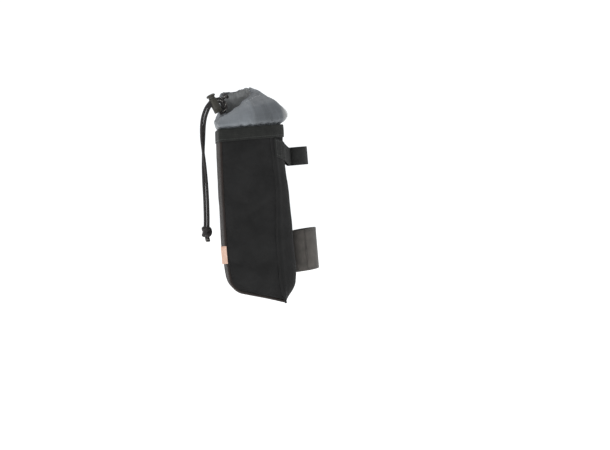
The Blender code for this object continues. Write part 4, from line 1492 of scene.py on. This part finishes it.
# Loop pile: a brushed nylon nap with no thread to see, so it is very matt, soft-edged and mottled,
# with slightly brighter fuzz at grazing angles.
pile, tree, shader = new_material(
    "brushed_loop_pile",
    {"Roughness": 0.96, "Sheen Weight": 0.2, "Sheen Roughness": 0.6, "Specular IOR Level": 0.15},
)
place_in = add_node(tree, "ShaderNodeTexCoord", {}, {})
fuzz = add_node(
    tree,
    "ShaderNodeTexNoise",
    {},
    {"Vector": place_in.outputs["Object"], "Scale": 1.0 / (0.7 * MM), "Detail": 5.0, "Roughness": 0.7},
)
nap = add_node(
    tree,
    "ShaderNodeTexNoise",
    {},
    {"Vector": place_in.outputs["Object"], "Scale": 1.0 / (9.0 * MM), "Detail": 3.0},
)
loops = add_node(
    tree, "ShaderNodeTexVoronoi", {}, {"Vector": place_in.outputs["Object"], "Scale": 1.0 / (1.0 * MM)}
)
mottled = add_node(
    tree, "ShaderNodeMath", {"operation": "MULTIPLY_ADD"}, {0: fuzz.outputs[0], 1: 0.5, 2: nap.outputs[0]}
)
amount = add_node(
    tree, "ShaderNodeMapRange", {}, {"Value": mottled.outputs[0], "From Min": 0.55, "From Max": 0.95}
)
tint = add_node(
    tree,
    "ShaderNodeMix",
    {"data_type": "RGBA"},
    {0: amount.outputs[0], 6: linear(LOOP_PILE), 7: linear(LOOP_WORN)},
)
rough = add_node(
    tree, "ShaderNodeMath", {"operation": "SUBTRACT"}, {0: fuzz.outputs[0], 1: loops.outputs["Distance"]}
)
bump = add_node(
    tree, "ShaderNodeBump", {}, {"Strength": 0.5, "Distance": 0.25 * MM, "Height": rough.outputs[0]}
)
tree.links.new(tint.outputs[2], shader.inputs["Base Color"])
tree.links.new(bump.outputs[0], shader.inputs["Normal"])

loop_line = strap_line(stem_ring, 180.0, 540.0, 96, True, 0.0)
mesh = webbing_mesh(loop_line, LOWER_WIDTH, LAYER, True)
mesh.transform(lean_turn)
loop = to_piece("lower_strap_loop_pile", mesh, pile)
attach(loop, "bag")
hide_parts("lower_strap_loop")

flap_line = strap_line(stem_ring + LAYER - 0.3 * MM, -80.0, 100.0, 64, False, 0.05 * MM)
mesh = webbing_mesh(flap_line, LOWER_WIDTH, LAYER, False)
mesh.transform(lean_turn)
flap = to_piece("lower_strap_flap_pile", mesh, pile)
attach(flap, "bag")
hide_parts("lower_strap_flap")

rows = []
for rise in (-22.5, 22.5):
    rows.append(
        [(point + out * (LAYER + 0.05 * MM) + Vector((0.0, 0.0, rise * MM)), out) for point, out in flap_line]
    )
sew("lower_strap_stitching", rows)


# Label: a blank woven tag, folded double and caught in the near front seam, then turned forward
# over the front strip.
LABEL_HEIGHT = 21.0
LABEL_LENGTH = 6.6
LABEL_THICKNESS = 1.2
LABEL_DROP = 148.0
LABEL_PEACH = "#d9ae97"
LABEL_LIGHT = "#e8c6b3"
label_height = RIM_RISE - LABEL_DROP * MM
label_front = front_reach(label_height)
label_middle = Vector((label_front + CORNER_FOLD, -BAG_WIDTH / 2, label_height))
label_middle += Vector((-LABEL_LENGTH / 2 - 1.1, -LABEL_THICKNESS / 2 - 0.3, 0.0)) * MM
fold = LABEL_THICKNESS / 2 - 0.22
outline = [(LABEL_LENGTH / 2, fold)]
outline += [
    (LABEL_LENGTH / 2 - LABEL_LENGTH * 0.85 * step / 8, fold + 0.12 * math.sin(step))
    for step in range(1, 8)
]
outline += [
    (-LABEL_LENGTH / 2 + fold + fold * math.cos(math.radians(turn)), fold * math.sin(math.radians(turn)))
    for turn in range(90, 271, 20)
]
outline += [(x, -y) for x, y in reversed(outline[:8])]


def place(column, row):
    along, out = outline[column]
    rise = (row / 24 - 0.5) * LABEL_HEIGHT
    wavy = 0.18 * ruffle(Vector((along, out, rise)) * MM, 6.0, 61.0)
    return label_middle + Vector((along, out + wavy, rise)) * MM


mesh = sheet_mesh(
    len(outline) - 1, 24, place, lambda c, r: (c * 0.9, r * LABEL_HEIGHT / 24), inside=label_middle
)
mesh.transform(lean_turn)

# Woven label: fine satin ribs of peach yarn, smooth and a little shiny along the fold.
satin = woven(
    "satin_label",
    LABEL_PEACH,
    LABEL_LIGHT,
    (2.6, 1.3),
    0.08,
    {"Roughness": 0.55, "Sheen Weight": 0.2},
    cloud_size=7.0,
)
label = to_piece("side_label_folded", mesh, satin)
shell = label.modifiers.new("Thickness", "SOLIDIFY")
shell.thickness = 0.4 * MM
shell.offset = 0.0
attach(label, "bag")
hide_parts("side_label")


# Setting: a wide pale floor far below the bag, white all round, and soft lights: a broad one high
# on the left, a weak one on the right, and one overhead.
FLOOR_DROP = -0.55
FLOOR_RADIUS = 14.0
mesh = bmesh.new()
bmesh.ops.create_circle(mesh, cap_ends=True, segments=96, radius=FLOOR_RADIUS)
bmesh.ops.translate(mesh, vec=(0.0, 0.0, FLOOR_DROP), verts=mesh.verts)

# Background paper: flat matt white with the faintest grain. It glows a little, as a lit studio
# floor does, so that the ground stays white to its edge.
paper, tree, shader = new_material(
    "background_paper", {"Roughness": 0.95, "Specular IOR Level": 0.1, "Emission Strength": 0.8}
)
place_in = add_node(tree, "ShaderNodeTexCoord", {}, {})
fibre = add_node(tree, "ShaderNodeTexNoise", {}, {"Vector": place_in.outputs["Object"], "Scale": 400.0})
tint = add_node(
    tree,
    "ShaderNodeMix",
    {"data_type": "RGBA"},
    {0: fibre.outputs[0], 6: linear("#f6f6f5"), 7: linear("#fbfbfa")},
)
tree.links.new(tint.outputs[2], shader.inputs["Base Color"])
shader.inputs["Emission Color"].default_value = linear("#ffffff")
ground = to_piece("pale_floor", mesh, paper)

LIGHTS = (
    # name, place, size, power
    ("key", (-1.6, -1.0, 1.2), 1.3, 11.0),
    ("fill", (1.6, -1.7, 0.5), 1.6, 2.5),
    ("top", (0.1, 0.7, 2.0), 1.6, 11.0),
)
for name, spot, size, power in LIGHTS:
    lamp = bpy.data.lights.new(name, "AREA")
    lamp.shape = "DISK"
    lamp.size = size
    lamp.energy = power
    holder = bpy.data.objects.new(name, lamp)
    holder.location = spot
    aim = Vector((-0.05, 0.0, -0.05)) - holder.location
    holder.rotation_euler = aim.to_track_quat("-Z", "Y").to_euler()
    scene.collection.objects.link(holder)

world = bpy.data.worlds.new("studio")
world.use_nodes = True
tree = world.node_tree
backdrop = tree.nodes["Background"]
backdrop.inputs[0].default_value = linear("#f4f6f8")
seen = add_node(tree, "ShaderNodeLightPath", {}, {})
strength = add_node(
    tree, "ShaderNodeMapRange", {}, {"Value": seen.outputs["Is Camera Ray"], "To Min": 0.55, "To Max": 1.2}
)
tree.links.new(strength.outputs[0], backdrop.inputs[1])
scene.world = world
scene.view_settings.view_transform = "Standard"
